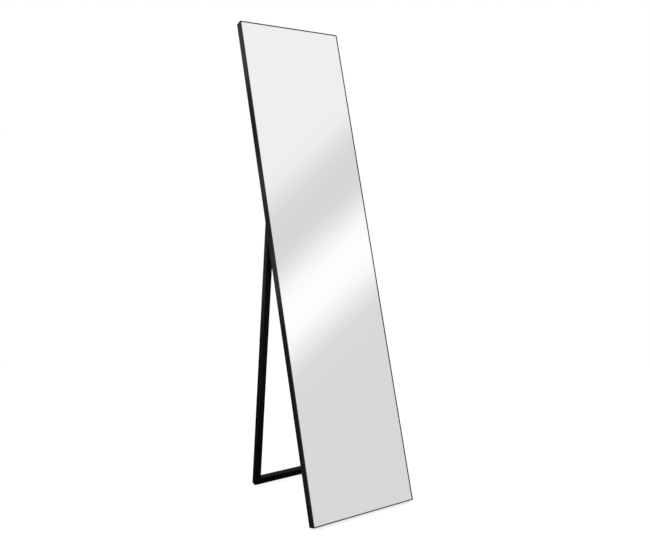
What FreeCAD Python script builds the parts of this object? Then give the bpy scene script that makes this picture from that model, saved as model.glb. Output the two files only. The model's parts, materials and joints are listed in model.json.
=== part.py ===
"""Leaning floor mirror on a folding rear stand.

A slim mitred frame of extruded aluminium holds the glass, its backing and the
board. A steel crossbar on the board carries the two hinges of a U-shaped tube
stand, which swings out behind the mirror until the heels of its end fittings
land on the crossbar, and folds flat into the back of the frame.

Three frames are used. The row frame has its origin on the floor under the middle
of the outline, +Z up, with the mirror facing -Y. The panel frame starts at the
middle of the frame's bottom front edge: X across, Y from front to back, Z along
the mirror. The stand frame starts on the hinge line: X across, Y from front to
back, Z along the legs. Lengths are millimetres and angles are degrees.
"""
import FreeCAD, Part
import math
import os
import re
import Sketcher

# Driving sizes: each is set here once.
SIZES = [
    ("mirror_width", 350, "outside width of the frame"),
    ("mirror_height", 1500, "outside height of the frame"),
    ("frame_depth", 25, "depth of the frame from front to back"),
    ("lean_angle", 16.4, "lean of the mirror from upright"),
    ("opening_angle", 23.7, "angle between mirror and stand when open"),
    ("frame_wall", 1.2, "wall of the frame extrusion"),
    ("front_lip", 3, "width of the lip in front of the glass"),
    ("lip_thickness", 1.2, "thickness of the front lip"),
    ("edge_break", 0.3, "broken outer edges of the extrusion"),
    ("rib_thickness", 1, "rib behind the board and end wall of the key slot"),
    ("slot_depth", 1.4, "depth of the key slot under its lips"),
    ("slot_lip", 0.8, "thickness of the two lips of the key slot"),
    ("slot_lip_reach", 2, "how far each lip covers the key slot"),
    ("glass_thickness", 3, "mirror glass"),
    ("glass_gap", 0.4, "gap round the glass inside the wall"),
    ("film_thickness", 0.2, "splinter film on the back of the glass"),
    ("tape_thickness", 0.8, "foam mounting tape between film and board"),
    ("tape_width", 15, "width of a tape strip"),
    ("tape_inset", 12, "outer tape strips from the frame's outside"),
    ("tape_end_gap", 30, "tape ends from the frame's outside"),
    ("board_thickness", 2.5, "back board"),
    ("board_gap", 0.5, "gap round the board inside the wall"),
    ("key_play", 0.1, "key to the slot's walls"),
    ("key_thickness", 1.2, "corner key strip"),
    ("key_arm", 38, "length of each arm of a corner key"),
    ("key_screw_first", 15, "first grub screw from the frame's corner"),
    ("key_screw_pitch", 14, "second grub screw from the first"),
    ("key_screw_diameter", 3, "grub screws of the corner keys"),
    ("key_screw_length", 1.9, "length of a grub screw"),
    ("pivot_height", 880, "hinge line along the mirror from its bottom"),
    ("crossbar_thickness", 1.5, "steel of the crossbar and hinge cheeks"),
    ("crossbar_below", 18, "crossbar below the hinge line"),
    ("crossbar_above", 32, "crossbar above the hinge line"),
    ("ear_radius", 7.5, "rounded ends of the hinge ears and cheeks"),
    ("ear_gap", 0.2, "ear inside the line of the leg's outer face"),
    ("cheek_flange", 22, "flange of the inner hinge cheek"),
    ("cheek_above", 24, "inner hinge cheek above the hinge line"),
    ("pin_diameter", 6, "hinge pin"),
    ("pin_head_diameter", 11, "head of the hinge pin"),
    ("pin_head_thickness", 2.4, "head of the hinge pin"),
    ("running_gap", 0.05, "radial clearance of shafts and screws in holes"),
    ("washer_diameter", 13, "hinge washers"),
    ("washer_thickness", 0.5, "hinge washers"),
    ("side_play", 0.3, "play between each washer and the tongue"),
    ("bush_wall", 1.5, "wall of the bush on the hinge pin"),
    ("rivet_diameter", 4, "rivets of crossbar and cheeks"),
    ("rivet_head_diameter", 8, "rear head of a rivet"),
    ("rivet_head_thickness", 1.2, "rear head of a rivet"),
    ("rivet_tail_diameter", 6, "set tail of a rivet in front of the board"),
    ("rivet_tail_thickness", 0.5, "set tail of a rivet"),
    ("rivet_from_cheek", 12, "cheek rivets from the inner cheek"),
    ("cheek_rivet_low", 1, "lower cheek rivet above the hinge line"),
    ("cheek_rivet_pitch", 16, "upper cheek rivet above the lower one"),
    ("crossbar_rivet_column", 45, "crossbar rivet columns from the middle"),
    ("crossbar_rivet_edge", 9, "crossbar rivets from its long edges"),
    ("tube_width", 20, "stand tube across the mirror"),
    ("tube_depth", 20, "stand tube from front to back"),
    ("tube_wall", 1.2, "wall of the stand tube"),
    ("tube_round", 1, "outer corner radius of the stand tube"),
    ("tube_bore_round", 0.5, "inner corner radius of the stand tube"),
    ("stand_side_gap", 0.6, "folded leg to the key slot's lips"),
    ("folded_gap", 0.5, "folded leg to the crossbar"),
    ("insert_gap", 0.2, "inserts and spigots inside the tube"),
    ("insert_arm", 42, "arms of the inserts in the stand's corners"),
    ("collar_gap", 1, "collar of the end fitting to the hinge ears"),
    ("collar_length", 4, "collar of the end fitting on the tube's end"),
    ("spigot_length", 34, "spigot of the end fitting in the tube"),
    ("heel_reach", 13, "heel of the end fitting above the hinge line"),
    ("heel_round", 9, "rounded back of the heel"),
    ("stop_gap", 0.3, "heel to crossbar at full opening"),
    ("stand_screw_diameter", 4, "screws of inserts and end fittings"),
    ("stand_screw_length", 9, "length of those screws under the head"),
    ("stand_screw_head", 7, "head diameter of those screws"),
    ("stand_screw_head_thickness", 1.6, "head thickness of those screws"),
    ("corner_screw_inset", 30, "corner screws from the stand's outer corner"),
    ("spigot_screw_inset", 16, "spigot screw below the tube's end"),
    ("rubber_lift", 1, "thinnest edge of the rubber feet"),
    ("mirror_foot_length", 40, "rubber foot of the frame, across"),
    ("mirror_foot_width", 6, "rubber foot of the frame, front to back"),
    ("mirror_foot_inset", 25, "rubber foot from the frame's side"),
    ("foot_edge", 0.6, "rubber foot from the edge it sits behind"),
    ("stand_foot_length", 30, "rubber foot of the stand, across"),
    ("stand_foot_inset", 6, "rubber foot from the stand's side"),
    ("stand_foot_edge", 2, "rubber foot from the tube's front and back"),
]

# Places and fits that follow from the driving sizes.
PLACES = [
    ("panel_y", "-(mirror_height*sin(lean_angle) + frame_depth*cos(lean_angle))/2"),
    ("panel_z", "frame_depth*sin(lean_angle) + rubber_lift"),
    ("half_width", "mirror_width/2"),
    ("glass_back", "lip_thickness + glass_thickness"),
    ("film_back", "glass_back + film_thickness"),
    ("tape_back", "film_back + tape_thickness"),
    ("board_back", "tape_back + board_thickness"),
    ("rib_back", "board_back + rib_thickness"),
    ("slot_back", "frame_depth - rib_thickness"),
    ("slot_inside", "frame_wall + slot_depth"),
    ("slot_face", "slot_inside + slot_lip"),
    ("key_front", "rib_back + 2*key_play"),
    ("key_back", "slot_back - 2*key_play"),
    ("key_middle", "(rib_back + slot_back)/2"),
    ("crossbar_back", "board_back + crossbar_thickness"),
    ("cheek_back", "crossbar_back + crossbar_thickness"),
    ("pivot_depth", "crossbar_back + folded_gap + tube_depth/2"),
    ("stand_lean", "opening_angle - lean_angle"),
    ("pivot_y", "panel_y + pivot_depth*cos(lean_angle) + pivot_height*sin(lean_angle)"),
    ("pivot_z", "panel_z - pivot_depth*sin(lean_angle) + pivot_height*cos(lean_angle)"),
    ("half_tube", "tube_depth/2"),
    ("edge_drop", "half_tube*abs(sin(stand_lean))"),
    ("leg_length", "(pivot_z - rubber_lift - edge_drop)/cos(stand_lean)"),
    ("leg_near", "slot_face + stand_side_gap"),
    ("leg_far", "leg_near + tube_width"),
    ("leg_middle", "leg_near + tube_width/2"),
    ("half_stand", "half_width - leg_near"),
    ("ear_near", "leg_near + ear_gap"),
    ("ear_far", "ear_near + crossbar_thickness"),
    ("cheek_far", "leg_far - ear_gap"),
    ("cheek_near", "cheek_far - crossbar_thickness"),
    ("tongue_near", "ear_far + washer_thickness + side_play"),
    ("tongue_far", "cheek_near - washer_thickness - side_play"),
    ("crossbar_low", "pivot_height - crossbar_below"),
    ("crossbar_high", "pivot_height + crossbar_above"),
    ("pin_radius", "pin_diameter/2"),
    ("bush_radius", "pin_radius + running_gap + bush_wall"),
    ("collar_top", "-(ear_radius + collar_gap)"),
    ("tube_top", "collar_top - collar_length"),
    ("stop_reach", "half_tube + folded_gap - stop_gap"),
    ("heel_foot", "(stop_reach - half_tube*cos(opening_angle))/sin(opening_angle)"),
    ("heel_front", "-(stop_reach - heel_reach*sin(opening_angle))/cos(opening_angle)"),
    ("insert_edge", "tube_wall + insert_gap"),
    ("insert_half_depth", "half_tube - insert_edge"),
    ("leg_screw_height", "corner_screw_inset - leg_length"),
    ("rail_screw_height", "tube_width/2 - leg_length"),
    ("spigot_screw_height", "tube_top - spigot_screw_inset"),
    ("foot_back", "frame_depth - foot_edge"),
    ("foot_front", "foot_back - mirror_foot_width"),
    ("cheek_rivet_across", "half_width - cheek_far - rivet_from_cheek"),
    ("cheek_rivet_low_height", "pivot_height + cheek_rivet_low"),
    ("cheek_rivet_high_height", "cheek_rivet_low_height + cheek_rivet_pitch"),
    ("crossbar_rivet_low_height", "crossbar_low + crossbar_rivet_edge"),
    ("crossbar_rivet_high_height", "crossbar_high - crossbar_rivet_edge"),
]

SHEET_OF = {alias: "Sizes" for alias, _, _ in SIZES}
SHEET_OF.update({alias: "Places" for alias, _ in PLACES})

document = FreeCAD.newDocument("leaning_floor_mirror")
sub_parts = []


def full(expression):
    """Put the sheet's name in front of each alias in an expression."""
    def with_sheet(match):
        word = match.group(0)
        return SHEET_OF[word] + "." + word if word in SHEET_OF else word
    return re.sub(r"[A-Za-z_]+", with_sheet, str(expression))


def fill_sheets():
    """Write the driving sizes as plain numbers and the places as formulas."""
    sizes = document.addObject("Spreadsheet::Sheet", "Sizes")
    for row, (alias, size, note) in enumerate(SIZES, start=1):
        sizes.set("A%d" % row, note)
        sizes.set("B%d" % row, str(size))
        sizes.setAlias("B%d" % row, alias)
    places = document.addObject("Spreadsheet::Sheet", "Places")
    for row, (alias, _) in enumerate(PLACES, start=1):
        places.setAlias("B%d" % row, alias)
    for row, (alias, formula) in enumerate(PLACES, start=1):
        words = re.sub(r"[A-Za-z_]+", lambda match: in_places(match.group(0)), formula)
        places.set("A%d" % row, alias.replace("_", " "))
        places.set("B%d" % row, "=" + words)
    document.recompute()
    return sizes


def in_places(word):
    """Name a driving size from inside the sheet of places."""
    return "Sizes." + word if SHEET_OF.get(word) == "Sizes" else word


def number(expression):
    """Value of an expression of aliases."""
    value = sizes_sheet.evalExpression(full(expression))
    return float(getattr(value, "Value", value))


def bind(thing, name, expression):
    """Bind a property to an expression of aliases."""
    thing.setExpression(name, full(expression))


# Bodies and their features --------------------------------------------------

ON_PANEL = "placement(vector(0; panel_y; panel_z); rotation(vector(1; 0; 0); -lean_angle))"
ON_STAND = "placement(vector(0; pivot_y; pivot_z); rotation(vector(1; 0; 0); stand_lean))"


def new_body(name, placement=ON_PANEL):
    """Start a sub-part whose label is its node name."""
    body = document.addObject("PartDesign::Body", name)
    body.Label = name
    body.AllowCompound = True
    bind(body, "Placement", placement)
    sub_parts.append(body)
    return body


def new_sketch(body, plane, start):
    """Attach a sketch to an origin plane, start millimetres along its axis."""
    sketch = body.newObject("Sketcher::SketchObject", body.Label + "_sketch")
    for candidate in body.Origin.OriginFeatures:
        if candidate.Role == plane + "_Plane":
            sketch.AttachmentSupport = [(candidate, "")]
    sketch.MapMode = "FlatFace"
    direction = "-" if plane == "XZ" else ""
    bind(sketch, "AttachmentOffset.Base.z", "%s(%s)" % (direction, start))
    return sketch


def pin_point(sketch, geometry, place, across, up):
    """Hold a point of the geometry at bound distances from the sketch origin."""
    for kind, expression in (("DistanceX", across), ("DistanceY", up)):
        held = Sketcher.Constraint(kind, -1, 1, geometry, place, number(expression))
        index = sketch.addConstraint(held)
        bind(sketch, "Constraints[%d]" % index, expression)


def draw_outline(sketch, corners):
    """Draw a closed outline, anticlockwise.

    A corner is (across, up), or (across, up, radius) where the stretch that
    arrives at it is a convex arc of that radius.
    """
    first = sketch.GeometryCount
    points = [FreeCAD.Vector(number(c[0]), number(c[1]), 0) for c in corners]
    arcs = {}
    for index, start in enumerate(points):
        follower = (index + 1) % len(corners)
        end = points[follower]
        if len(corners[follower]) == 3:
            arcs[first + index] = corners[follower][2]
            sketch.addGeometry(convex_arc(start, end, number(corners[follower][2])), False)
        else:
            sketch.addGeometry(Part.LineSegment(start, end), False)
    for index in range(len(corners)):
        follower = first + (index + 1) % len(corners)
        sketch.addConstraint(Sketcher.Constraint("Coincident", first + index, 2, follower, 1))
        pin_point(sketch, first + index, 1, corners[index][0], corners[index][1])
    for geometry, radius in arcs.items():
        held = sketch.addConstraint(Sketcher.Constraint("Radius", geometry, number(radius)))
        bind(sketch, "Constraints[%d]" % held, radius)


def convex_arc(start, end, radius):
    """Minor arc from start to end that turns left."""
    chord = end - start
    middle = (start + end) * 0.5
    rise = math.sqrt(radius ** 2 - (chord.Length / 2) ** 2)
    left = FreeCAD.Vector(-chord.y, chord.x, 0).normalize()
    centre = middle + left * rise
    first_angle = math.atan2(start.y - centre.y, start.x - centre.x)
    last_angle = math.atan2(end.y - centre.y, end.x - centre.x)
    circle = Part.Circle(centre, FreeCAD.Vector(0, 0, 1), radius)
    return Part.ArcOfCircle(circle, first_angle, last_angle)


def draw_circle(sketch, across, up, radius):
    """Draw a circle with its centre and radius bound."""
    centre = FreeCAD.Vector(number(across), number(up), 0)
    circle = Part.Circle(centre, FreeCAD.Vector(0, 0, 1), number(radius))
    geometry = sketch.addGeometry(circle, False)
    held = sketch.addConstraint(Sketcher.Constraint("Radius", geometry, number(radius)))
    bind(sketch, "Constraints[%d]" % held, radius)
    pin_point(sketch, geometry, 3, across, up)


def add_feature(body, kind, plane, start, length, outlines=(), circles=()):
    """Add a pad or pocket that runs length millimetres along the plane's axis."""
    sketch = new_sketch(body, plane, start)
    for corners in outlines:
        draw_outline(sketch, corners)
    for across, up, radius in circles:
        draw_circle(sketch, across, up, radius)
    before = 0 if kind == "Pad" else body.Shape.Volume
    feature = body.newObject("PartDesign::" + kind, body.Label + "_" + kind.lower())
    feature.Profile = sketch
    feature.Reversed = (plane == "XZ") == (kind == "Pad")
    bind(feature, "Length", length)
    document.recompute()
    if kind == "Pocket" and not feature.Shape.Volume < before:
        raise RuntimeError(body.Label + ": a cut removes nothing")
    return feature


def pad(body, plane, start, length, outlines=(), circles=()):
    """Add material along the plane's axis."""
    return add_feature(body, "Pad", plane, start, length, outlines, circles)


def pocket(body, plane, start, length, outlines=(), circles=()):
    """Cut material along the plane's axis."""
    return add_feature(body, "Pocket", plane, start, length, outlines, circles)


def rectangle(low_across, low_up, high_across, high_up):
    """Corners of a rectangle."""
    return [(low_across, low_up), (high_across, low_up),
            (high_across, high_up), (low_across, high_up)]


def rounded_rectangle(half_across, half_up, radius, middle_across="0", middle_up="0"):
    """Corners of a rectangle round a middle, with quarter arcs."""
    west, east = ("%s %s %s" % (middle_across, sign, half_across) for sign in "-+")
    south, north = ("%s %s %s" % (middle_up, sign, half_up) for sign in "-+")
    return [(east + " - " + radius, south), (east, south + " + " + radius, radius),
            (east, north + " - " + radius), (east + " - " + radius, north, radius),
            (west + " + " + radius, north), (west, north + " - " + radius, radius),
            (west, south + " + " + radius), (west + " + " + radius, south, radius)]


def beside(side, near, far):
    """Where a slice between near and far, measured in from a side, starts along X."""
    return "%s - half_width" % near if side == "left" else "half_width - (%s)" % far


def at_side(side, inset):
    """Place along X that lies inset from the left or right side of the frame."""
    return "(%s) - half_width" % inset if side == "left" else "half_width - (%s)" % inset


SIDES = ("left", "right")


# The mirror panel -----------------------------------------------------------

def make_frame_member(name, length, x, z, turn):
    """Extruded frame side, mitred at both ends.

    The section has X in from the outer face and Y from front to back: front
    lip, outer wall, rib behind the board and the lipped slot for the keys.
    """
    local = "placement(vector(%s; 0; %s); rotation(vector(0; 1; 0); %s))" % (x, z, turn)
    body = new_body(name, ON_PANEL + " * " + local)
    section = [
        ("edge_break", "0"), ("front_lip", "0"), ("front_lip", "lip_thickness"),
        ("frame_wall", "lip_thickness"), ("frame_wall", "board_back"),
        ("slot_face", "board_back"), ("slot_face", "rib_back + slot_lip_reach"),
        ("slot_inside", "rib_back + slot_lip_reach"), ("slot_inside", "rib_back"),
        ("frame_wall", "rib_back"), ("frame_wall", "slot_back"),
        ("slot_inside", "slot_back"), ("slot_inside", "slot_back - slot_lip_reach"),
        ("slot_face", "slot_back - slot_lip_reach"), ("slot_face", "frame_depth"),
        ("edge_break", "frame_depth"), ("0", "frame_depth - edge_break"),
        ("0", "edge_break"),
    ]
    pad(body, "XY", "0", length, [section])
    low_end = [("-frame_wall", "-frame_wall"), ("2*slot_face", "-frame_wall"),
               ("2*slot_face", "2*slot_face")]
    high_end = [("-frame_wall", length + " + frame_wall"),
                ("2*slot_face", length + " - 2*slot_face"),
                ("2*slot_face", length + " + frame_wall")]
    pocket(body, "XZ", "-frame_wall", "frame_depth + 2*frame_wall", [low_end, high_end])


def make_frame():
    """Four mitred members."""
    make_frame_member("frame_side_left", "mirror_height", "-half_width", "0", "0")
    make_frame_member("frame_side_right", "mirror_height", "half_width", "mirror_height", "180")
    make_frame_member("frame_top", "mirror_width", "-half_width", "mirror_height", "90")
    make_frame_member("frame_bottom", "mirror_width", "half_width", "0", "-90")


def make_sheet(name, gap, front, thickness):
    """Flat sheet inside the frame, gap millimetres from its walls."""
    body = new_body(name)
    edge = "(frame_wall + %s)" % gap
    outline = rectangle("%s - half_width" % edge, edge,
                        "half_width - %s" % edge, "mirror_height - %s" % edge)
    pad(body, "XZ", front, thickness, [outline])
    return body


def make_tape():
    """Foam tape: a strip inside each long edge and one each side of the middle."""
    body = new_body("mounting_tape")
    strips = []
    for side in SIDES:
        for inset in ("tape_inset", "(half_width - 2*tape_width)"):
            ends = sorted((at_side(side, inset), at_side(side, inset + " + tape_width")), key=number)
            strips.append(rectangle(ends[0], "tape_end_gap", ends[1], "mirror_height - tape_end_gap"))
    pad(body, "XZ", "film_back", "tape_thickness", strips)


def make_corner_key(name, x, z, turn):
    """L-shaped key in the slots of two members, tapped for grub screws."""
    local = "placement(vector(%s; 0; %s); rotation(vector(0; 1; 0); %s))" % (x, z, turn)
    body = new_body(name, ON_PANEL + " * " + local)
    outer = "frame_wall + key_play"
    inner = "frame_wall + key_play + key_thickness"
    strip = [(outer, outer), ("key_arm", outer), ("key_arm", inner),
             (inner, inner), (inner, "key_arm"), (outer, "key_arm")]
    pad(body, "XZ", "key_front", "key_back - key_front", [strip])
    hole = "key_screw_diameter/2 + running_gap"
    places = ("key_screw_first", "key_screw_first + key_screw_pitch")
    pocket(body, "YZ", "frame_wall", "key_thickness + 2*key_play",
           circles=[("key_middle", place, hole) for place in places])
    pocket(body, "XY", "frame_wall", "key_thickness + 2*key_play",
           circles=[(place, "key_middle", hole) for place in places])


def make_corner_keys():
    """One key at each corner of the frame."""
    make_corner_key("corner_key_bottom_left", "-half_width", "0", "0")
    make_corner_key("corner_key_bottom_right", "half_width", "0", "-90")
    make_corner_key("corner_key_top_left", "-half_width", "mirror_height", "90")
    make_corner_key("corner_key_top_right", "half_width", "mirror_height", "180")


def make_key_screws():
    """Grub screws through the keys against the frame's walls."""
    body = new_body("corner_key_screws")
    near = ("key_screw_first", "key_screw_first + key_screw_pitch")
    heights = near + tuple("mirror_height - (%s)" % place for place in near)
    for side in SIDES:
        start = beside(side, "frame_wall", "frame_wall + key_screw_length")
        pad(body, "YZ", start, "key_screw_length",
            circles=[("key_middle", height, "key_screw_diameter/2") for height in heights])
    across = [at_side(side, place) for side in SIDES for place in near]
    for start in ("frame_wall", "mirror_height - frame_wall - key_screw_length"):
        pad(body, "XY", start, "key_screw_length",
            circles=[(place, "key_middle", "key_screw_diameter/2") for place in across])


# The hinges -----------------------------------------------------------------

CHEEK_RIVETS = [(sign + "cheek_rivet_across", height) for sign in ("-", "")
                for height in ("cheek_rivet_low_height", "cheek_rivet_high_height")]
CROSSBAR_RIVETS = [(sign + "crossbar_rivet_column", height) for sign in ("-", "")
                   for height in ("crossbar_rivet_low_height", "crossbar_rivet_high_height")]
RIVET_HOLE = "rivet_diameter/2 + running_gap"


def add_ear(body, side, near, far, seat):
    """Strip between near and far from a side, from its seat to a round, bored end."""
    start = beside(side, near, far)
    strip = rectangle(seat, "pivot_height - ear_radius", "pivot_depth", "pivot_height + ear_radius")
    pad(body, "YZ", start, "crossbar_thickness", [strip])
    pad(body, "YZ", start, "crossbar_thickness", circles=[("pivot_depth", "pivot_height", "ear_radius")])
    pocket(body, "YZ", start, "crossbar_thickness",
           circles=[("pivot_depth", "pivot_height", "pin_radius + running_gap")])


def make_crossbar():
    """Steel strip across the board, bent back at both ends into the outer ears."""
    body = new_body("hinge_crossbar")
    strip = rectangle("ear_near - half_width", "crossbar_low", "half_width - ear_near", "crossbar_high")
    pad(body, "XZ", "board_back", "crossbar_thickness", [strip])
    for side in SIDES:
        add_ear(body, side, "ear_near", "ear_far", "board_back")
    pocket(body, "XZ", "board_back", "crossbar_thickness",
           circles=[(x, z, RIVET_HOLE) for x, z in CHEEK_RIVETS + CROSSBAR_RIVETS])


def make_cheek(side):
    """Inner cheek of a hinge: an angle on the crossbar with a round, bored end."""
    body = new_body("hinge_cheek_" + side)
    edges = sorted((at_side(side, "cheek_near"), at_side(side, "cheek_far + cheek_flange")), key=number)
    flange = rectangle(edges[0], "pivot_height - ear_radius", edges[1], "pivot_height + cheek_above")
    pad(body, "XZ", "crossbar_back", "crossbar_thickness", [flange])
    add_ear(body, side, "cheek_near", "cheek_far", "crossbar_back")
    own = CHEEK_RIVETS[:2] if side == "left" else CHEEK_RIVETS[2:]
    pocket(body, "XZ", "crossbar_back", "crossbar_thickness",
           circles=[(x, z, RIVET_HOLE) for x, z in own])


def make_rivets(name, centres, seat):
    """Rivets from a rear seat through the board to their set tails."""
    body = new_body(name)
    pad(body, "XZ", "tape_back - rivet_tail_thickness", "rivet_tail_thickness",
        circles=[(x, z, "rivet_tail_diameter/2") for x, z in centres])
    pad(body, "XZ", "tape_back", "%s - tape_back" % seat,
        circles=[(x, z, "rivet_diameter/2") for x, z in centres])
    pad(body, "XZ", seat, "rivet_head_thickness",
        circles=[(x, z, "rivet_head_diameter/2") for x, z in centres])


def make_pin(side):
    """Hinge pin through ear, tongue and cheek, with its head on the inner cheek."""
    body = new_body("hinge_pin_" + side)
    pad(body, "YZ", beside(side, "ear_near", "cheek_far"), "cheek_far - ear_near",
        circles=[("pivot_depth", "pivot_height", "pin_radius")])
    pad(body, "YZ", beside(side, "cheek_far", "cheek_far + pin_head_thickness"), "pin_head_thickness",
        circles=[("pivot_depth", "pivot_height", "pin_head_diameter/2")])


def make_washers():
    """Thin washers on both pins, one each side of both tongues."""
    body = new_body("hinge_washers")
    for side in SIDES:
        for near, far in (("ear_far", "ear_far + washer_thickness"),
                          ("cheek_near - washer_thickness", "cheek_near")):
            pad(body, "YZ", beside(side, near, far), "washer_thickness",
                circles=[("pivot_depth", "pivot_height", "washer_diameter/2"),
                         ("pivot_depth", "pivot_height", "pin_radius + 2*running_gap")])


# The stand ------------------------------------------------------------------

SCREW_HOLE = "stand_screw_diameter/2 + running_gap"


def tube_section(half_across, half_up, middle_across="0", middle_up="0"):
    """Outer and inner outline of the stand tube round a middle."""
    inner = ["(%s - tube_wall)" % half for half in (half_across, half_up)]
    return [rounded_rectangle(half_across, half_up, "tube_round", middle_across, middle_up),
            rounded_rectangle(inner[0], inner[1], "tube_bore_round", middle_across, middle_up)]


def make_leg(side):
    """Leg of the stand, mitred at its foot, with holes for its two screws."""
    body = new_body("stand_leg_" + side, ON_STAND)
    middle = "(%s)" % at_side(side, "leg_middle")
    pad(body, "XY", "-leg_length", "leg_length + tube_top",
        tube_section("tube_width/2", "half_tube", middle))
    inner, outer = at_side(side, "leg_far + tube_wall"), at_side(side, "leg_near - tube_wall")
    corner = [(inner, "tube_width + tube_wall - leg_length"), (outer, "-leg_length - tube_wall"),
              (inner, "-leg_length - tube_wall")]
    if side == "right":
        corner = [corner[0], corner[2], corner[1]]
    pocket(body, "XZ", "-tube_depth", "2*tube_depth", [corner])
    across = at_side(side, "leg_middle")
    pocket(body, "XZ", "half_tube - 2*tube_wall", "2*tube_wall",
           circles=[(across, height, SCREW_HOLE)
                    for height in ("leg_screw_height", "spigot_screw_height")])


def make_rail():
    """Bottom rail of the stand, mitred into both legs."""
    body = new_body("stand_bottom_rail", ON_STAND)
    pad(body, "YZ", "-half_stand", "2*half_stand",
        tube_section("half_tube", "tube_width/2", "0", "rail_screw_height"))
    over = "tube_wall - leg_length"
    for sign, order in (("-", 1), ("", -1)):
        tip = ("%s(half_stand - tube_width - tube_wall)" % sign, "tube_width + " + over)
        foot = ("%s(half_stand + tube_wall)" % sign, "-leg_length - tube_wall")
        top = ("%s(half_stand + tube_wall)" % sign, "tube_width + " + over)
        pocket(body, "XZ", "-tube_depth", "2*tube_depth", [[tip, top, foot][::order]])
    across = "half_stand - corner_screw_inset"
    pocket(body, "XZ", "half_tube - 2*tube_wall", "2*tube_wall",
           circles=[("%s(%s)" % (sign, across), "rail_screw_height", SCREW_HOLE)
                    for sign in ("-", "")])


def make_corner_insert(side):
    """Solid L inside the mitred corner of leg and rail, drilled for two screws."""
    body = new_body("stand_corner_insert_" + side, ON_STAND)
    outer = at_side(side, "leg_near + insert_edge")
    inner = at_side(side, "leg_far - insert_edge")
    end = at_side(side, "leg_near + insert_arm")
    low, high = "insert_edge - leg_length", "tube_width - insert_edge - leg_length"
    corners = [(outer, low), (end, low), (end, high), (inner, high),
               (inner, "insert_arm - leg_length"), (outer, "insert_arm - leg_length")]
    if side == "right":
        corners = corners[::-1]
    pad(body, "XZ", "-insert_half_depth", "2*insert_half_depth", [corners])
    screws = [(at_side(side, "leg_middle"), "leg_screw_height"),
              (at_side(side, "leg_near + corner_screw_inset"), "rail_screw_height")]
    depth = "stand_screw_length"
    pocket(body, "XZ", "half_tube - " + depth, depth,
           circles=[(x, z, SCREW_HOLE) for x, z in screws])


def make_end_fitting(side):
    """Cast end of a leg: spigot in the tube, collar, and bored tongue with its heel.

    The heel's front is the plane that lies against the crossbar at full opening.
    """
    body = new_body("leg_end_fitting_" + side, ON_STAND)
    middle = "(%s)" % at_side(side, "leg_middle")
    spigot = rounded_rectangle("(tube_width/2 - insert_edge)", "insert_half_depth", "tube_bore_round", middle)
    pad(body, "XY", "tube_top - spigot_length", "spigot_length", [spigot])
    collar = rounded_rectangle("tube_width/2", "half_tube", "tube_round", middle)
    pad(body, "XY", "tube_top", "collar_length", [collar])
    tongue = [("-half_tube", "collar_top"), ("half_tube", "collar_top"),
              ("half_tube", "heel_reach - heel_round"),
              ("half_tube - heel_round", "heel_reach", "heel_round"),
              ("heel_front", "heel_reach"), ("-half_tube", "heel_foot")]
    start = beside(side, "tongue_near", "tongue_far")
    pad(body, "YZ", start, "tongue_far - tongue_near", [tongue])
    pocket(body, "YZ", start, "tongue_far - tongue_near", circles=[("0", "0", "bush_radius + running_gap")])
    depth = "stand_screw_length"
    pocket(body, "XZ", "half_tube - " + depth, depth,
           circles=[(at_side(side, "leg_middle"), "spigot_screw_height", SCREW_HOLE)])


def make_bush(side):
    """Plastic bush in the tongue, running on the hinge pin."""
    body = new_body("hinge_bush_" + side, ON_STAND)
    pad(body, "YZ", beside(side, "tongue_near", "tongue_far"), "tongue_far - tongue_near",
        circles=[("0", "0", "bush_radius"), ("0", "0", "pin_radius + running_gap")])


def make_stand_screws(name, centres):
    """Screws driven from behind into the inserts and end fittings."""
    body = new_body(name, ON_STAND)
    pad(body, "XZ", "half_tube - stand_screw_length", "stand_screw_length",
        circles=[(x, z, "stand_screw_diameter/2") for x, z in centres])
    pad(body, "XZ", "half_tube", "stand_screw_head_thickness",
        circles=[(x, z, "stand_screw_head/2") for x, z in centres])


# The rubber feet ------------------------------------------------------------

def panel_floor(depth):
    """Height of the floor in the panel frame at a depth behind the front."""
    return "-(rubber_lift + (frame_depth - (%s))*sin(lean_angle))/cos(lean_angle)" % depth


def stand_floor(depth):
    """Height of the floor in the stand frame at a depth behind the hinge line."""
    return "-(pivot_z + (%s)*sin(stand_lean))/cos(stand_lean)" % depth


def make_mirror_foot(side):
    """Wedge under the frame, flat on the floor."""
    body = new_body("mirror_foot_" + side)
    wedge = [("foot_front", panel_floor("foot_front")), ("foot_back", panel_floor("foot_back")),
             ("foot_back", "0"), ("foot_front", "0")]
    start = beside(side, "mirror_foot_inset", "mirror_foot_inset + mirror_foot_length")
    pad(body, "YZ", start, "mirror_foot_length", [wedge])


def make_stand_foot(side):
    """Wedge under the bottom rail, flat on the floor."""
    body = new_body("stand_foot_" + side, ON_STAND)
    front, back = "stand_foot_edge - half_tube", "half_tube - stand_foot_edge"
    wedge = [(front, stand_floor(front)), (back, stand_floor(back)),
             (back, "-leg_length"), (front, "-leg_length")]
    near = "leg_near + stand_foot_inset"
    start = beside(side, near, near + " + stand_foot_length")
    pad(body, "YZ", start, "stand_foot_length", [wedge])


# Building and writing -------------------------------------------------------

def build_mirror_body():
    """Everything that stays with the mirror."""
    make_frame()
    make_sheet("mirror_glass", "glass_gap", "lip_thickness", "glass_thickness")
    make_sheet("splinter_film", "glass_gap", "glass_back", "film_thickness")
    make_tape()
    board = make_sheet("back_board", "board_gap", "tape_back", "board_thickness")
    pocket(board, "XZ", "tape_back", "board_thickness",
           circles=[(x, z, RIVET_HOLE) for x, z in CHEEK_RIVETS + CROSSBAR_RIVETS])
    make_corner_keys()
    make_key_screws()
    make_crossbar()
    make_rivets("cheek_rivets", CHEEK_RIVETS, "cheek_back")
    make_rivets("crossbar_rivets", CROSSBAR_RIVETS, "crossbar_back")
    make_washers()
    for side in SIDES:
        make_cheek(side)
        make_pin(side)
        make_mirror_foot(side)


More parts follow.
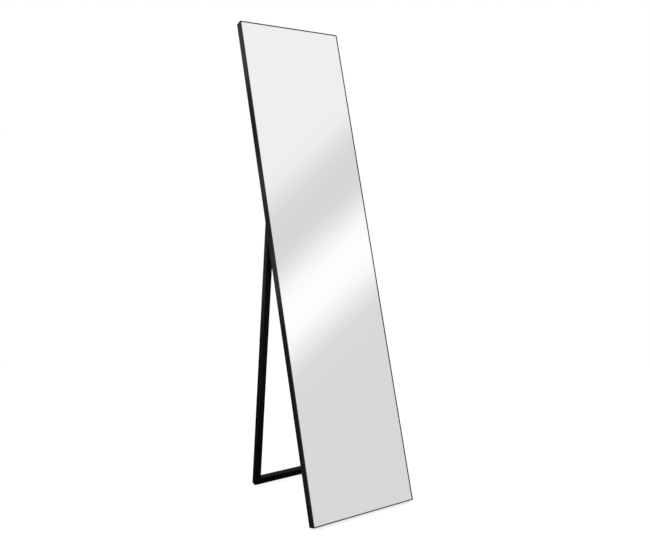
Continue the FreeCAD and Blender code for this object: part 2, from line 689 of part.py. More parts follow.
def build_stand_body():
    """Everything that swings with the stand."""
    for side in SIDES:
        make_leg(side)
        make_corner_insert(side)
        make_end_fitting(side)
        make_bush(side)
        make_stand_foot(side)
    make_rail()
    legs = [at_side(side, "leg_middle") for side in SIDES]
    rail_ends = [at_side(side, "leg_near + corner_screw_inset") for side in SIDES]
    corners = [(x, "leg_screw_height") for x in legs] + [(x, "rail_screw_height") for x in rail_ends]
    make_stand_screws("stand_corner_screws", corners)
    make_stand_screws("leg_end_screws", [(x, "spigot_screw_height") for x in legs])


def check_document():
    """Stop if any object failed or any sub-part is empty or invalid."""
    document.recompute()
    for thing in document.Objects:
        if "Invalid" in thing.State or "Error" in thing.State:
            raise RuntimeError("%s failed: %s" % (thing.Label, thing.State))
    for part in sub_parts:
        if part.Shape.isNull() or not part.Shape.isValid() or not part.Shape.Solids:
            raise RuntimeError(part.Label + " has no valid solid")


def write_parts():
    """Write each sub-part to its own file and print what it holds."""
    os.makedirs("parts", exist_ok=True)
    for part in sub_parts:
        part.Shape.exportStep("parts/%s.step" % part.Label)
        print("%-26s %2d solids %12.1f mm3" % (part.Label, len(part.Shape.Solids), part.Shape.Volume))


sizes_sheet = fill_sheets()
build_mirror_body()
build_stand_body()
check_document()
write_parts()
print("hinge line at y %.3f z %.3f, leg length %.3f"
      % (number("pivot_y"), number("pivot_z"), number("leg_length")))
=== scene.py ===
"""Leaning floor mirror: the finish of every piece, its softened and turned shapes, and the studio.

Each new piece is made of closed skins of rings of points, worked out as whole numpy arrays.
The panel frame starts at the middle of the mirror's bottom front edge: X across, Y from
front to back, Z along the mirror. The stand frame starts on the hinge line, Z along the
legs. Sizes are shown in Blender's length unit and are metres in the code.
"""

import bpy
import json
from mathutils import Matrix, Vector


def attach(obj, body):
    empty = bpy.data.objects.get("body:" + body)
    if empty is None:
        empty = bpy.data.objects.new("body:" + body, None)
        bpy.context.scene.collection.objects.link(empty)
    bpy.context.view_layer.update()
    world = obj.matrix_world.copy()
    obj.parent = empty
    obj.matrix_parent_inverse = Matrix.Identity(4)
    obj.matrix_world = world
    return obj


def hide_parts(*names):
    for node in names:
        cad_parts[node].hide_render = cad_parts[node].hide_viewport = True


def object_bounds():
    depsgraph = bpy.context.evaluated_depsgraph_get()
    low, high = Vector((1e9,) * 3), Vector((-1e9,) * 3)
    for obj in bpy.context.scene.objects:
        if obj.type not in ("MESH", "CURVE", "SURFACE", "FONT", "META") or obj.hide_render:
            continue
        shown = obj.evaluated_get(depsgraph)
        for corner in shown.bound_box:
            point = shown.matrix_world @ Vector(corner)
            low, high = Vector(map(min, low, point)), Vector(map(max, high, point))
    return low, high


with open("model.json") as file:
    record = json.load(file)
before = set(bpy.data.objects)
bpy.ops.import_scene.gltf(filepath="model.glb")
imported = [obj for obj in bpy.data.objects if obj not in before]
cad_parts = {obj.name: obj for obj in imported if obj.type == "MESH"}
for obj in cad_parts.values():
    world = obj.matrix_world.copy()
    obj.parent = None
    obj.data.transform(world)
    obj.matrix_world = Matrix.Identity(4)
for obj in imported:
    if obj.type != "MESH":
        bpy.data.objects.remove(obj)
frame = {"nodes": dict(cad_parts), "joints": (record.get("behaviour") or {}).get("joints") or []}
CAD_BOX = [list(corner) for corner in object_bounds()]

import json
import math
import types

import bpy
import numpy as np

bl_info = {
    "name": "Leaning Floor Mirror",
    "version": (1, 0, 0),
    "blender": (4, 5, 0),
    "location": "3D View > Sidebar > Mirror",
    "description": "Finishes a leaning floor mirror and sets it in a plain studio",
    "category": "Object",
}

MM = 0.001
SIDES = ("left", "right")
HINGE_LINE = np.array(frame["joints"][0]["pos_m"])
HALF_WIDTH = CAD_BOX[1][0]
RIGHT_ANGLE = math.pi / 2
# A point this far from an arc, on the straight beside it, keeps the flat's shading flat.
FLAT_MARGIN = 0.03 * MM
# Radius of the small flat that closes a dome at its pole.
POLE = 0.02 * MM
# Upright rim under a dome, and broken edge under a head.
RIM, BROKEN_EDGE = 0.2 * MM, 0.1 * MM


def linear(code):
    """Linear colour with alpha of an sRGB hex code."""
    shares = np.array([int(code[i:i + 2], 16) / 255 for i in (0, 2, 4)])
    low, high = shares / 12.92, ((shares + 0.055) / 1.055) ** 2.4
    return (*np.where(shares <= 0.04045, low, high).tolist(), 1.0)


# Sizes and colours -----------------------------------------------------------

def length(name, millimetres, description):
    """Length property written in millimetres."""
    return bpy.props.FloatProperty(name=name, description=description, default=millimetres * MM,
                                   min=0.0, precision=5, unit="LENGTH", subtype="DISTANCE")


def angle(name, degrees, description):
    """Angle property written in degrees."""
    return bpy.props.FloatProperty(name=name, description=description,
                                   default=math.radians(degrees), unit="ROTATION", subtype="ANGLE")


def share(name, amount, description):
    """Property without a unit, from nothing to all."""
    return bpy.props.FloatProperty(name=name, description=description, default=amount,
                                   min=0.0, soft_max=1.0, subtype="FACTOR")


def colour(name, code, description):
    """Colour property written as an sRGB hex code."""
    return bpy.props.FloatVectorProperty(name=name, description=description, size=4,
                                         default=linear(code), min=0.0, max=1.0, subtype="COLOR")


class MIRROR_PG_panel(bpy.types.PropertyGroup):
    """Sizes of the frame, the glass and what is behind it."""
    lean: angle("Lean", 16.4, "Lean of the mirror from upright")
    height: length("Height", 1500, "Outside height of the frame along the mirror")
    depth: length("Depth", 25, "Depth of the frame from front to back")
    wall: length("Wall", 1.2, "Wall of the frame extrusion")
    lip: length("Lip", 3, "Width of the lip in front of the glass")
    lip_thickness: length("Lip thickness", 1.2, "Thickness of the front lip")
    rib: length("Rib", 1, "Rib behind the board and end wall of the key slot")
    slot: length("Slot", 1.4, "Depth of the key slot under its lips")
    slot_lip: length("Slot lip", 0.8, "Thickness of the lips of the key slot")
    slot_reach: length("Slot lip reach", 2, "How far each lip covers the key slot")
    outer_round: length("Outer round", 0.4, "Rounded outer edges of the extrusion")
    inner_round: length("Inner round", 0.12, "Rounded inner edges of the extrusion")
    mitre_break: length("Mitre break", 0.08, "Broken edges that show at each mitre")
    glass: length("Glass", 3, "Thickness of the mirror glass")
    glass_gap: length("Glass gap", 0.4, "Gap between glass and wall")
    glass_arris: length("Glass arris", 0.4, "Ground edge of the glass")
    backing: length("Backing", 1, "Splinter film and foam tape behind the glass")
    board: length("Board", 2.5, "Thickness of the back board")
    rubber_lift: length("Rubber lift", 1, "Thinnest edge of the rubber feet")
    foot_length: length("Foot length", 40, "Rubber foot of the frame, across")
    foot_width: length("Foot width", 6, "Rubber foot of the frame, front to back")
    foot_inset: length("Foot inset", 25, "Rubber foot from the frame's side")
    foot_edge: length("Foot edge", 0.6, "Rubber foot from the frame's back edge")
    foot_round: length("Foot round", 1.5, "Rounded corners of the rubber feet")


class MIRROR_PG_hinge(bpy.types.PropertyGroup):
    """Sizes of the crossbar, the hinges and their fasteners."""
    height: length("Height", 880, "Hinge line along the mirror from its bottom")
    steel: length("Steel", 1.5, "Steel of the crossbar and the hinge cheeks")
    bend: length("Bend", 1, "Inside radius of the bends")
    burr: length("Edge round", 0.25, "Rounded edges of the pressed steel")
    notch: length("Notch", 2, "Length over which the crossbar narrows to an ear")
    below: length("Below", 18, "Crossbar below the hinge line")
    above: length("Above", 32, "Crossbar above the hinge line")
    ear: length("Ear radius", 7.5, "Rounded ends of the ears and cheeks")
    ear_gap: length("Ear gap", 0.2, "Ear inside the line of the leg's outer face")
    flange: length("Flange", 22, "Flange of the inner hinge cheek")
    flange_above: length("Flange above", 24, "Inner hinge cheek above the hinge line")
    flange_round: length("Flange round", 3, "Rounded corners of the flange's end")
    folded_gap: length("Folded gap", 0.5, "Folded leg to the crossbar")
    pin: length("Pin", 6, "Diameter of the hinge pin")
    pin_head: length("Pin head", 11, "Diameter of the pin's head")
    pin_head_height: length("Pin head height", 2.4, "Height of the pin's domed head")
    peen: length("Peen", 0.3, "Height of the pin's peened end")
    washer: length("Washer", 13, "Diameter of the hinge washers")
    washer_thickness: length("Washer thickness", 0.5, "Thickness of the hinge washers")
    washer_round: length("Washer round", 0.15, "Rounded edges of the hinge washers")
    side_play: length("Side play", 0.3, "Play between each washer and the tongue")
    bush_wall: length("Bush wall", 1.5, "Wall of the bush on the hinge pin")
    bush_round: length("Bush round", 0.2, "Rounded edges of the bush")
    running_gap: length("Running gap", 0.05, "Radial clearance of shafts in holes")
    rivet: length("Rivet", 4, "Diameter of the rivets")
    rivet_head: length("Rivet head", 8, "Diameter of a rivet's domed head")
    rivet_head_height: length("Rivet head height", 1.2, "Height of a rivet's domed head")
    rivet_mandrel: length("Rivet mandrel", 2.2, "Hollow left by the mandrel in a rivet's head")
    rivet_tail: length("Rivet tail", 6, "Diameter of a rivet's set tail")
    rivet_tail_height: length("Rivet tail height", 0.5, "Height of a rivet's set tail")
    rivet_from_cheek: length("Rivet from cheek", 12, "Cheek rivets from the inner cheek")
    cheek_rivet_low: length("Lower cheek rivet", 1, "Lower cheek rivet above the hinge line")
    cheek_rivet_pitch: length("Cheek rivet pitch", 16, "Upper cheek rivet above the lower one")
    rivet_column: length("Rivet column", 45, "Crossbar rivets from the middle")
    rivet_edge: length("Rivet edge", 9, "Crossbar rivets from its long edges")


class MIRROR_PG_stand(bpy.types.PropertyGroup):
    """Sizes of the folding stand."""
    opening: angle("Opening", 23.7, "Angle between mirror and stand when open")
    tube: length("Tube", 20, "Outside of the square tube")
    wall: length("Wall", 1.2, "Wall of the tube")
    tube_round: length("Tube round", 1, "Outer corner radius of the tube")
    bore_round: length("Bore round", 0.5, "Inner corner radius of the tube")
    mitre_break: length("Mitre break", 0.15, "Broken edges that show at each mitre")
    side_gap: length("Side gap", 0.6, "Folded leg to the lips of the key slot")
    collar_gap: length("Collar gap", 1, "Collar of the end fitting to the hinge ears")
    collar: length("Collar", 4, "Collar of the end fitting on the tube's end")
    spigot: length("Spigot", 34, "Spigot of the end fitting inside the tube")
    spigot_gap: length("Spigot gap", 0.2, "Spigot to the tube's bore")
    casting_round: length("Casting round", 0.6, "Rounded edges of the cast end fitting")
    heel_reach: length("Heel reach", 13, "Heel of the end fitting above the hinge line")
    heel_round: length("Heel round", 9, "Rounded back of the heel")
    stop_gap: length("Stop gap", 0.3, "Heel to crossbar at full opening")
    screw_inset: length("Screw inset", 30, "Corner screws from the stand's outer corner")
    spigot_screw: length("Spigot screw", 16, "Spigot screw below the tube's end")
    foot_length: length("Foot length", 30, "Rubber foot of the stand, across")
    foot_inset: length("Foot inset", 6, "Rubber foot from the stand's side")
    foot_edge: length("Foot edge", 2, "Rubber foot from the tube's front and back")


class MIRROR_PG_screws(bpy.types.PropertyGroup):
    """Sizes of the screws."""
    head: length("Head", 7, "Head diameter of the stand's screws")
    head_height: length("Head height", 1.6, "Head height of the stand's screws")
    shank: length("Shank", 4, "Shank diameter of the stand's screws")
    shank_length: length("Shank length", 9, "Shank length of the stand's screws")
    cross_reach: length("Cross reach", 1.9, "Half length of the arms of the cross recess")
    cross_width: length("Cross width", 0.95, "Width of the arms of the cross recess")
    cross_depth: length("Cross depth", 1.1, "Depth of the cross recess")
    cross_slope: length("Cross slope", 0.2, "Sloping side of the cross recess")
    grub: length("Grub screw", 3, "Diameter of the grub screws")
    grub_length: length("Grub screw length", 1.9, "Length of the grub screws")
    grub_key: length("Grub screw key", 1.5, "Width across flats of the hexagon socket")
    grub_socket: length("Grub screw socket", 1.1, "Depth of the hexagon socket")
    grub_first: length("First grub screw", 15, "First grub screw from the frame's corner")
    grub_pitch: length("Grub screw pitch", 14, "Second grub screw from the first")


class MIRROR_PG_finishes(bpy.types.PropertyGroup):
    """Colours of the finishes."""
    anodised: colour("Anodised", "131314", "Black dyed anodising of the frame")
    anodised_worn: colour("Anodised, lighter", "1B1B1D", "Where the dye took less")
    powder: colour("Powder coat", "050506", "Black powder coat of the stand")
    powder_light: colour("Powder coat, lighter", "0B0B0C", "Crests of the powder coat")
    silver: colour("Silver", "F8F9F8", "Silver behind the glass")
    hardboard: colour("Hardboard", "5A412B", "Pressed wood fibre")
    # Darker brown of the board's random clouds, also used as painted shade in the screen's pits.
    hardboard_dark: colour("Hardboard, dark", "432F1E", "Darker clouds and the screen's pits")
    hardboard_light: colour("Hardboard, light", "7A5D3F", "Paler fibres")
    zinc: colour("Zinc", "C3C6C8", "Bright zinc plate")
    zinc_dull: colour("Zinc, dull", "9EA3A6", "Duller grains of the zinc plate")
    rivet: colour("Rivet", "C9CACB", "Drawn aluminium of the rivets")
    rivet_dull: colour("Rivet, dull", "ABADAF", "Duller patches of the rivets")
    coated_steel: colour("Coated steel", "161617", "Black electrocoat of the hinges")
    coated_steel_edge: colour("Coated steel, thin", "242526", "Thin coat on the steel's grain")
    acetal: colour("Acetal", "E4E2DA", "Natural acetal of washers and bushes")
    acetal_shade: colour("Acetal, shade", "CFCCC2", "Flow marks of the acetal")
    filled_nylon: colour("Filled nylon", "1D1D1E", "Black glass-filled nylon")
    filled_nylon_fibre: colour("Filled nylon, fibre", "2A2A2B", "Glass fibres at the surface")
    casting: colour("Casting", "101011", "Black paint of the die-cast fittings")
    casting_light: colour("Casting, lighter", "19191A", "Thin paint on the casting's skin")
    rubber: colour("Rubber", "161616", "Vulcanised rubber of the feet")
    rubber_bloom: colour("Rubber, bloom", "242424", "Pale bloom on the rubber")
    foam: colour("Foam tape", "DAD8D2", "Acrylic foam of the mounting tape")
    foam_cell: colour("Foam tape, cells", "BFBCB4", "Open cells of the foam")
    film: colour("Film", "AEB6BC", "Splinter film on the back of the glass")
    film_weave: colour("Film, weave", "97A1A8", "Woven strands in the film")


class MIRROR_PG_studio(bpy.types.PropertyGroup):
    """Camera, lights and floor."""
    camera: bpy.props.FloatVectorProperty(
        name="Camera", description="Place of the camera", size=3,
        default=(-1.1249, -1.7809, 0.8977), unit="LENGTH", subtype="TRANSLATION")
    yaw: angle("Yaw", 32.35, "Camera's turn from the front towards the right")
    pitch: angle("Pitch", 6.0, "Camera's tilt down")
    lens: bpy.props.FloatProperty(name="Lens", description="Focal length for a 36 mm wide image",
                                  default=38.526, unit="CAMERA")
    fill: share("Fill", 0.78, "Even light from all round")
    lamp: share("Lamp", 0.3, "Light of each soft lamp on a surface that faces it")
    floor: colour("Floor", "F2F2F2", "Pale paint of the floor")
    floor_speck: colour("Floor, specks", "EFEFEF", "Slightly darker specks of the floor")
    floor_radius: length("Floor radius", 2400, "Radius of the floor")
    floor_light: share("Floor light", 0.7, "How much of the floor is seen as plain white")
    floor_glow: share("Floor glow", 1.12, "Brightness of that plain white")


# Shapes: outlines, rings and skins -------------------------------------------

def rounded_outline(corners, radii, steps=4):
    """Closed outline with an arc at every corner.

    An arc starts radius * tan(turn / 2) before its corner. Its points are the centre plus
    the arm to its start, turned by shares of the corner's turn. One more point lies on
    each straight, a small margin from the arc.
    """
    corners = np.asarray(corners, float)
    radii = np.broadcast_to(radii, len(corners))[:, None]
    arriving = corners - np.roll(corners, 1, axis=0)
    arriving /= np.linalg.norm(arriving, axis=1, keepdims=True)
    leaving = np.roll(arriving, -1, axis=0)
    sine = arriving[:, 0] * leaving[:, 1] - arriving[:, 1] * leaving[:, 0]
    turn = np.arctan2(sine, (arriving * leaving).sum(axis=1))[:, None]
    reach = radii * np.tan(np.abs(turn) / 2)
    arm = -np.sign(turn) * radii * np.stack([-arriving[:, 1], arriving[:, 0]], axis=1)
    start = corners - reach * arriving
    angles = turn * np.linspace(0, 1, steps + 1)
    cos, sin = np.cos(angles), np.sin(angles)
    across = arm[:, :1] * cos - arm[:, 1:] * sin
    up = arm[:, :1] * sin + arm[:, 1:] * cos
    arcs = (start - arm)[:, None] + np.stack([across, up], axis=-1)
    before = start - FLAT_MARGIN * arriving
    after = corners + (reach + FLAT_MARGIN) * leaving
    return np.concatenate([before[:, None], arcs, after[:, None]], axis=1).reshape(-1, 2)


def rectangle(low_across, low_up, high_across, high_up):
    """Corners of a rectangle, anticlockwise."""
    return [(low_across, low_up), (high_across, low_up),
            (high_across, high_up), (low_across, high_up)]


def square(half):
    """Corners of a square round its own middle."""
    return rectangle(-half, -half, half, half)


def circle(radius, around=48):
    """Points at equal angles round a circle."""
    turn = np.arange(around) * math.tau / around
    return radius * np.stack([np.cos(turn), np.sin(turn)], axis=-1)


def inset(outline, distance):
    """Outline moved inwards: each point by the sum of its two edge normals, scaled to the distance."""
    edges = np.roll(outline, -1, axis=0) - outline
    normals = np.stack([-edges[:, 1], edges[:, 0]], axis=1) / np.linalg.norm(edges, axis=1)[:, None]
    both = normals + np.roll(normals, 1, axis=0)
    return outline + both * 2 * distance / (both * both).sum(axis=1, keepdims=True)


def closed(rings):
    """Rings, or a profile, with the first one again at the end."""
    return np.concatenate([rings, rings[:1]])


def level_rings(outlines, levels):
    """Rings (across, up, level) from outlines and the level of each ring or of each point."""
    outlines, levels = np.asarray(outlines), np.asarray(levels, float)
    levels = levels if levels.ndim > 1 else levels[:, None]
    return np.concatenate([outlines, np.broadcast_to(levels, outlines.shape[:2])[..., None]], axis=-1)


def edge_levels(low, high, edge, steps=4):
    """Inset and level of the rings of a slab whose edges are quarter rounds.

    Inset is edge * (1 - sin a) and rise is edge * (1 - cos a), with a from 0 to a right
    angle, and the same upside down at the top.
    """
    turn = np.linspace(0, RIGHT_ANGLE, steps + 1)
    insets = np.concatenate([[edge + FLAT_MARGIN], edge * (1 - np.sin(turn)), [0]])
    rises = np.concatenate([[0], edge * (1 - np.cos(turn)), [edge + FLAT_MARGIN]])
    return np.concatenate([insets, insets[::-1]]), np.concatenate([low + rises, high - rises[::-1]])


def slab(outline, low, high, edge):
    """Rings of a slab between two levels, with rounded edges."""
    insets, levels = edge_levels(low, high, edge)
    return level_rings([inset(outline, distance) for distance in insets], levels)


def turned(profile, around=48):
    """Rings of a surface of revolution: radius * cos a, radius * sin a, level."""
    profile = np.asarray(profile, float)
    return level_rings(profile[:, 0, None, None] * circle(1, around), profile[:, 1])


def domed(radius, height, base, end=POLE, steps=8):
    """Profile of a flat dome: radius * cos a and base + height * sin a, up to this end radius."""
    turn = np.linspace(0, math.acos(end / radius), steps + 1)
    return np.stack([radius * np.cos(turn), base + height * np.sin(turn)], axis=-1)


def along_depth(rings):
    """Local (across, up, level) laid as (X, Y, Z) with the level from front to back."""
    return rings[..., [0, 2, 1]]


def along_width(rings):
    """Local (across, up, level) laid as (X, Y, Z) with the level from left to right."""
    return rings[..., [2, 0, 1]]


def turned_about_x(points, turn, origin):
    """Points turned about X, y cos - z sin and y sin + z cos, then moved by the origin."""
    cos, sin = math.cos(turn), math.sin(turn)
    x, y, z = np.moveaxis(points, -1, 0)
    return np.stack([x, y * cos - z * sin, y * sin + z * cos], axis=-1) + origin


def placed(points, body):
    """Points from the body's own frame, the panel's or the stand's, to the object's."""
    panel, stand = bpy.context.scene.mirror_panel, bpy.context.scene.mirror_stand
    if body == "stand":
        return turned_about_x(points, stand.opening - panel.lean, HINGE_LINE)
    cos, sin = math.cos(panel.lean), math.sin(panel.lean)
    middle = (panel.height * sin + panel.depth * cos) / 2
    return turned_about_x(points, -panel.lean, (0, -middle, panel.depth * sin + panel.rubber_lift))


def mirrored(points, side):
    """Points as they are for the left side, with X reversed for the right side."""
    return points * (1 if side == "left" else -1, 1, 1)


def both_sides(*skins):
    """Each skin on the left and again on the right."""
    return [mirrored(rings, side) for rings in skins for side in SIDES]


def enclosed_volume(rings):
    """Mean area vector of neighbouring rings times the step between their centres, added up."""
    centres = rings.mean(axis=1)
    arms = rings - centres[:, None]
    areas = 0.5 * np.cross(arms, np.roll(arms, -1, axis=1)).sum(axis=1)
    return (0.5 * (areas[:-1] + areas[1:]) * np.diff(centres, axis=0)).sum()


def skin_faces(stations, around, looped, first):
    """Four-sided faces between neighbouring rings and, unless it is looped, a cap at each end."""
    station = np.arange(stations if looped else stations - 1)[:, None]
    corner = np.arange(around)[None, :]
    beside, after = (corner + 1) % around, (station + 1) % stations
    numbers = [station * around + corner, station * around + beside,
               after * around + beside, after * around + corner]
    faces = (np.stack(numbers, axis=-1).reshape(-1, 4) + first).tolist()
    ends = first + np.arange(around)
    caps = [ends[::-1].tolist(), (ends + (stations - 1) * around).tolist()]
    return faces if looped else faces + caps


def make_piece(name, skins, body, node, material):
    """Make one mesh of closed skins, given in the body's own frame, and face it outwards.

    A skin whose last ring repeats its first is looped: it closes on itself.
    """
    points, faces, first = [], [], 0
    for skin in skins:
        rings = placed(skin, body)
        rings = rings if enclosed_volume(rings) > 0 else rings[:, ::-1]
        looped = np.array_equal(rings[0], rings[-1])
        rings = rings[:-1] if looped else rings
        faces += skin_faces(*rings.shape[:2], looped, first)
        points.append(rings.reshape(-1, 3))
        first += len(points[-1])
    mesh = bpy.data.meshes.new(name)
    mesh.from_pydata(np.concatenate(points).tolist(), [], faces)
    mesh.polygons.foreach_set("use_smooth", np.ones(len(faces), bool))
    mesh.set_sharp_from_angle(angle=math.radians(50))
    mesh.materials.append(material)
    mesh.validate()
    piece = bpy.data.objects.new(name, mesh)
    bpy.context.scene.collection.objects.link(piece)
    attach(piece, body)
    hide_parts(node)


def make_pairs(*pairs):
    """Make each of these pieces on the left, and then their mirror images on the right."""
    for side in SIDES:
        for name, skins, body, node, slot, material in pairs:
            make_piece(name + "_" + side, [mirrored(rings, side) for rings in skins], body,
                       node + "_" + side, material)


def finish_node(name, material):
    """Give a packed node that keeps its shape its material."""
    node = frame["nodes"][name]
    if node.material_slots:
        for slot in node.material_slots:
            slot.material = material
    else:
        node.data.materials.append(material)


# Materials -------------------------------------------------------------------

def per(millimetres):
    """Texture scale at which one feature is this long."""
    return 1 / (millimetres * MM)


def set_inputs(node, inputs):
    """Link each of these inputs to a socket, or set its value."""
    for socket, value in inputs.items():
        if isinstance(value, bpy.types.NodeSocket):
            node.id_data.links.new(value, node.inputs[socket])
        else:
            node.inputs[socket].default_value = value


def add_node(tree, kind, inputs=None, output=0, **settings):
    """Add a node with its settings and inputs, and give one of its outputs."""
    node = tree.nodes.new(kind)
    for name, setting in settings.items():
        setattr(node, name, setting)
    set_inputs(node, inputs or {})
    return node.outputs[output]


def start_material(name, constants):
    """New material, its tree and its shader, with these constants on the shader's own sockets."""
    material = bpy.data.materials.new(name)
    material.use_nodes = True
    shader = material.node_tree.nodes["Principled BSDF"]
    set_inputs(shader, constants)
    return material, material.node_tree, shader


def shared(make_material, colours):
    """Material that several steps use, made the first time it is asked for."""
    return bpy.data.materials.get(make_material.__name__) or make_material(colours)


def surface_place(tree, turn=0.0, stretch=(1, 1, 1)):
    """Object coordinates turned about X into the panel or the stand, then stretched."""
    place = add_node(tree, "ShaderNodeTexCoord", output="Object")
    level = add_node(tree, "ShaderNodeMapping", {"Vector": place, "Rotation": (turn, 0, 0)})
    return add_node(tree, "ShaderNodeVectorMath", {0: level, 1: stretch}, operation="MULTIPLY")


def wander(tree, place, millimetres, low=0.0, high=1.0, detail=3.0):
    """Value that wanders between low and high over patches about this long."""
    noise = add_node(tree, "ShaderNodeTexNoise",
                     {"Vector": place, "Scale": per(millimetres), "Detail": detail}, output="Fac")
    # The noise keeps mostly to the range from 0.3 to 0.7.
    return add_node(tree, "ShaderNodeMapRange", {"Value": noise, "From Min": 0.3, "From Max": 0.7,
                                                 "To Min": low, "To Max": high})


def woven_lines(tree, place, millimetres, operation):
    """Two sets of bands at right angles, across X and up Z, this far apart.

    A wave texture at scale 1 repeats every 0.1 pi metres.
    """
    scale = 0.1 * math.pi * per(millimetres)
    bands = [add_node(tree, "ShaderNodeTexWave", {"Vector": place, "Scale": scale}, output="Fac",
                      wave_type="BANDS", bands_direction=direction) for direction in ("X", "Z")]
    return add_node(tree, "ShaderNodeMath", dict(enumerate(bands)), operation=operation)


def lay_finish(tree, shader, patches, tones, skin, gloss, relief, height=None):
    """Give the shader its tones, its roughness and its relief.

    The patches mix the two tones. The roughness runs from the first to the second value
    of gloss with the skin's pattern. The relief is this high in millimetres from where
    the pattern is 0 to where it is 1, the pattern being the height if given, or the skin.
    """
    toned = add_node(tree, "ShaderNodeMix", {0: patches, 6: tones[0], 7: tones[1]}, output=2,
                     data_type="RGBA")
    rough = add_node(tree, "ShaderNodeMapRange",
                     {"Value": skin, "To Min": gloss[0], "To Max": gloss[1]})
    bump = add_node(tree, "ShaderNodeBump", {"Height": height or skin, "Distance": relief * MM})
    set_inputs(shader, {"Base Color": toned, "Roughness": rough, "Normal": bump})


def black_anodised_aluminium(name, colours, turn, stretch):
    """Extruded aluminium, etched, anodised and dyed black.

    The die leaves faint lines along the member under an even satin, so the reflections
    are soft and a little streaked. The real lines are about 0.1 mm apart and are drawn
    1 mm apart. The etched skin reflects less than a smooth one.
    """
    material, tree, shader = start_material(name, {"IOR": 1.5, "Specular IOR Level": 0.35})
    lines = wander(tree, surface_place(tree, turn, stretch), 1.0, detail=2.0)
    lay_finish(tree, shader, wander(tree, surface_place(tree, turn), 60.0),
               (colours.anodised, colours.anodised_worn), lines, (0.16, 0.22), 0.004)
    return material


def silvered_float_glass(colours):
    """Float glass with silver and paint on its back.

    The eye sees bright metal under clear glass, with a breath of haze that differs from
    place to place.
    """
    material, tree, shader = start_material("silvered_float_glass",
                                            {"Metallic": 1.0, "Base Color": colours.silver})
    set_inputs(shader, {"Roughness": wander(tree, surface_place(tree), 90.0, 0.0, 0.01)})
    return material


def black_powder_coat(colours, turn):
    """Polyester powder baked on steel tube.

    The powder melts into a skin with shallow orange-peel waves about 1.5 mm across, so
    the satin highlight breaks up slightly. The waves are drawn 3 mm across. Its fine
    matting grains reflect less than a smooth skin.
    """
    material, tree, shader = start_material("black_powder_coat",
                                            {"IOR": 1.5, "Specular IOR Level": 0.3})
    place = surface_place(tree, turn)
    lay_finish(tree, shader, wander(tree, place, 0.8), (colours.powder, colours.powder_light),
               wander(tree, place, 3.0, detail=1.5), (0.24, 0.34), 0.03)
    return material


def tempered_hardboard(colours, turn):
    """Wood fibre pressed on a wire screen and tempered with oil.

    Paler fibres about 8 mm long lie both ways in an even dark brown, and the back keeps
    the pits of the screen, which are painted darker as shade. Its wires are about 1.3 mm
    apart and are drawn 4 mm apart.
    """
    material, tree, shader = start_material("tempered_hardboard", {"IOR": 1.5})
    clouds = wander(tree, surface_place(tree, turn), 90.0, 0.0, 0.5, detail=4.0)
    across, upright = [wander(tree, surface_place(tree, turn, stretch), 1.2, 0.0, 0.7)
                       for stretch in ((0.15, 1, 1), (1, 1, 0.15))]
    fibres = add_node(tree, "ShaderNodeMath", {0: across, 1: upright}, operation="MULTIPLY")
    screen = woven_lines(tree, surface_place(tree, turn), 4.0, "MULTIPLY")
    # Painted shade: the screen's pits are mixed up to 0.45 of the way towards the darker brown.
    pits = add_node(tree, "ShaderNodeMapRange", {"Value": screen, "To Min": 0.0, "To Max": 0.45})
    height = add_node(tree, "ShaderNodeMath", {0: fibres, 1: screen}, operation="SUBTRACT")
    brown = colours.hardboard
    for part, tone in ((clouds, colours.hardboard_dark), (fibres, colours.hardboard_light)):
        brown = add_node(tree, "ShaderNodeMix", {0: part, 6: brown, 7: tone}, output=2,
                         data_type="RGBA")
    lay_finish(tree, shader, pits, (brown, colours.hardboard_dark), fibres, (0.6, 0.8), 0.1, height)
    return material


def bright_zinc_plate(colours):
    """Steel with a thin bright zinc plate: a cool metal with soft, duller clouds."""
    material, tree, shader = start_material("bright_zinc_plate", {"Metallic": 1.0})
    place = surface_place(tree)
    lay_finish(tree, shader, wander(tree, place, 6.0), (colours.zinc, colours.zinc_dull),
               wander(tree, place, 0.7), (0.22, 0.38), 0.008)
    return material


def drawn_aluminium(colours):
    """Rivet of soft aluminium wire: scratches of the setting tool blur its pale shine."""
    material, tree, shader = start_material("drawn_aluminium", {"Metallic": 1.0})
    place = surface_place(tree, 0.0, (1, 1, 6))
    lay_finish(tree, shader, wander(tree, place, 4.0), (colours.rivet, colours.rivet_dull),
               wander(tree, place, 0.8, detail=4.0), (0.25, 0.45), 0.01)
    return material


def black_electrocoat(colours, turn):
    """Cold rolled steel, pressed, bent and dipped in black electrocoat.

    The thin paint follows the steel's rolled grain and stays smooth and half matt.
    """
    material, tree, shader = start_material("black_electrocoat_steel", {"IOR": 1.5})
    rolled = wander(tree, surface_place(tree, turn, (0.1, 1, 1)), 0.9)
    lay_finish(tree, shader, wander(tree, surface_place(tree, turn), 15.0),
               (colours.coated_steel, colours.coated_steel_edge), rolled, (0.35, 0.5), 0.006)
    return material


def moulded_skin(name, tones, patch, gloss, relief):
    """Skin of a moulded, cast or cured piece: two close tones and a shallow relief."""
    material, tree, shader = start_material(name, {"IOR": 1.5})
    place = surface_place(tree)
    lay_finish(tree, shader, wander(tree, place, patch), tones, wander(tree, place, patch / 6),
               gloss, relief)
    return material


def natural_acetal(colours):
    """Injection moulded acetal: waxy off-white with pale flow marks 4 mm long."""
    return moulded_skin("natural_acetal", (colours.acetal, colours.acetal_shade), 4.0,
                        (0.3, 0.42), 0.005)


def glass_filled_nylon(colours):
    """Injection moulded nylon: glass fibres at the skin make it a dull, greyish black."""
    return moulded_skin("glass_filled_nylon", (colours.filled_nylon, colours.filled_nylon_fibre),
                        1.2, (0.45, 0.65), 0.01)


def painted_die_casting(colours):
    """Die-cast zinc under thin black paint: even, with the casting's soft ripples."""
    return moulded_skin("painted_die_casting", (colours.casting, colours.casting_light), 7.0,
                        (0.32, 0.45), 0.02)


def vulcanised_rubber(colours):
    """Rubber cured in a blasted mould: matt, with a faint pale bloom."""
    return moulded_skin("vulcanised_rubber", (colours.rubber, colours.rubber_bloom), 5.0,
                        (0.75, 0.9), 0.03)


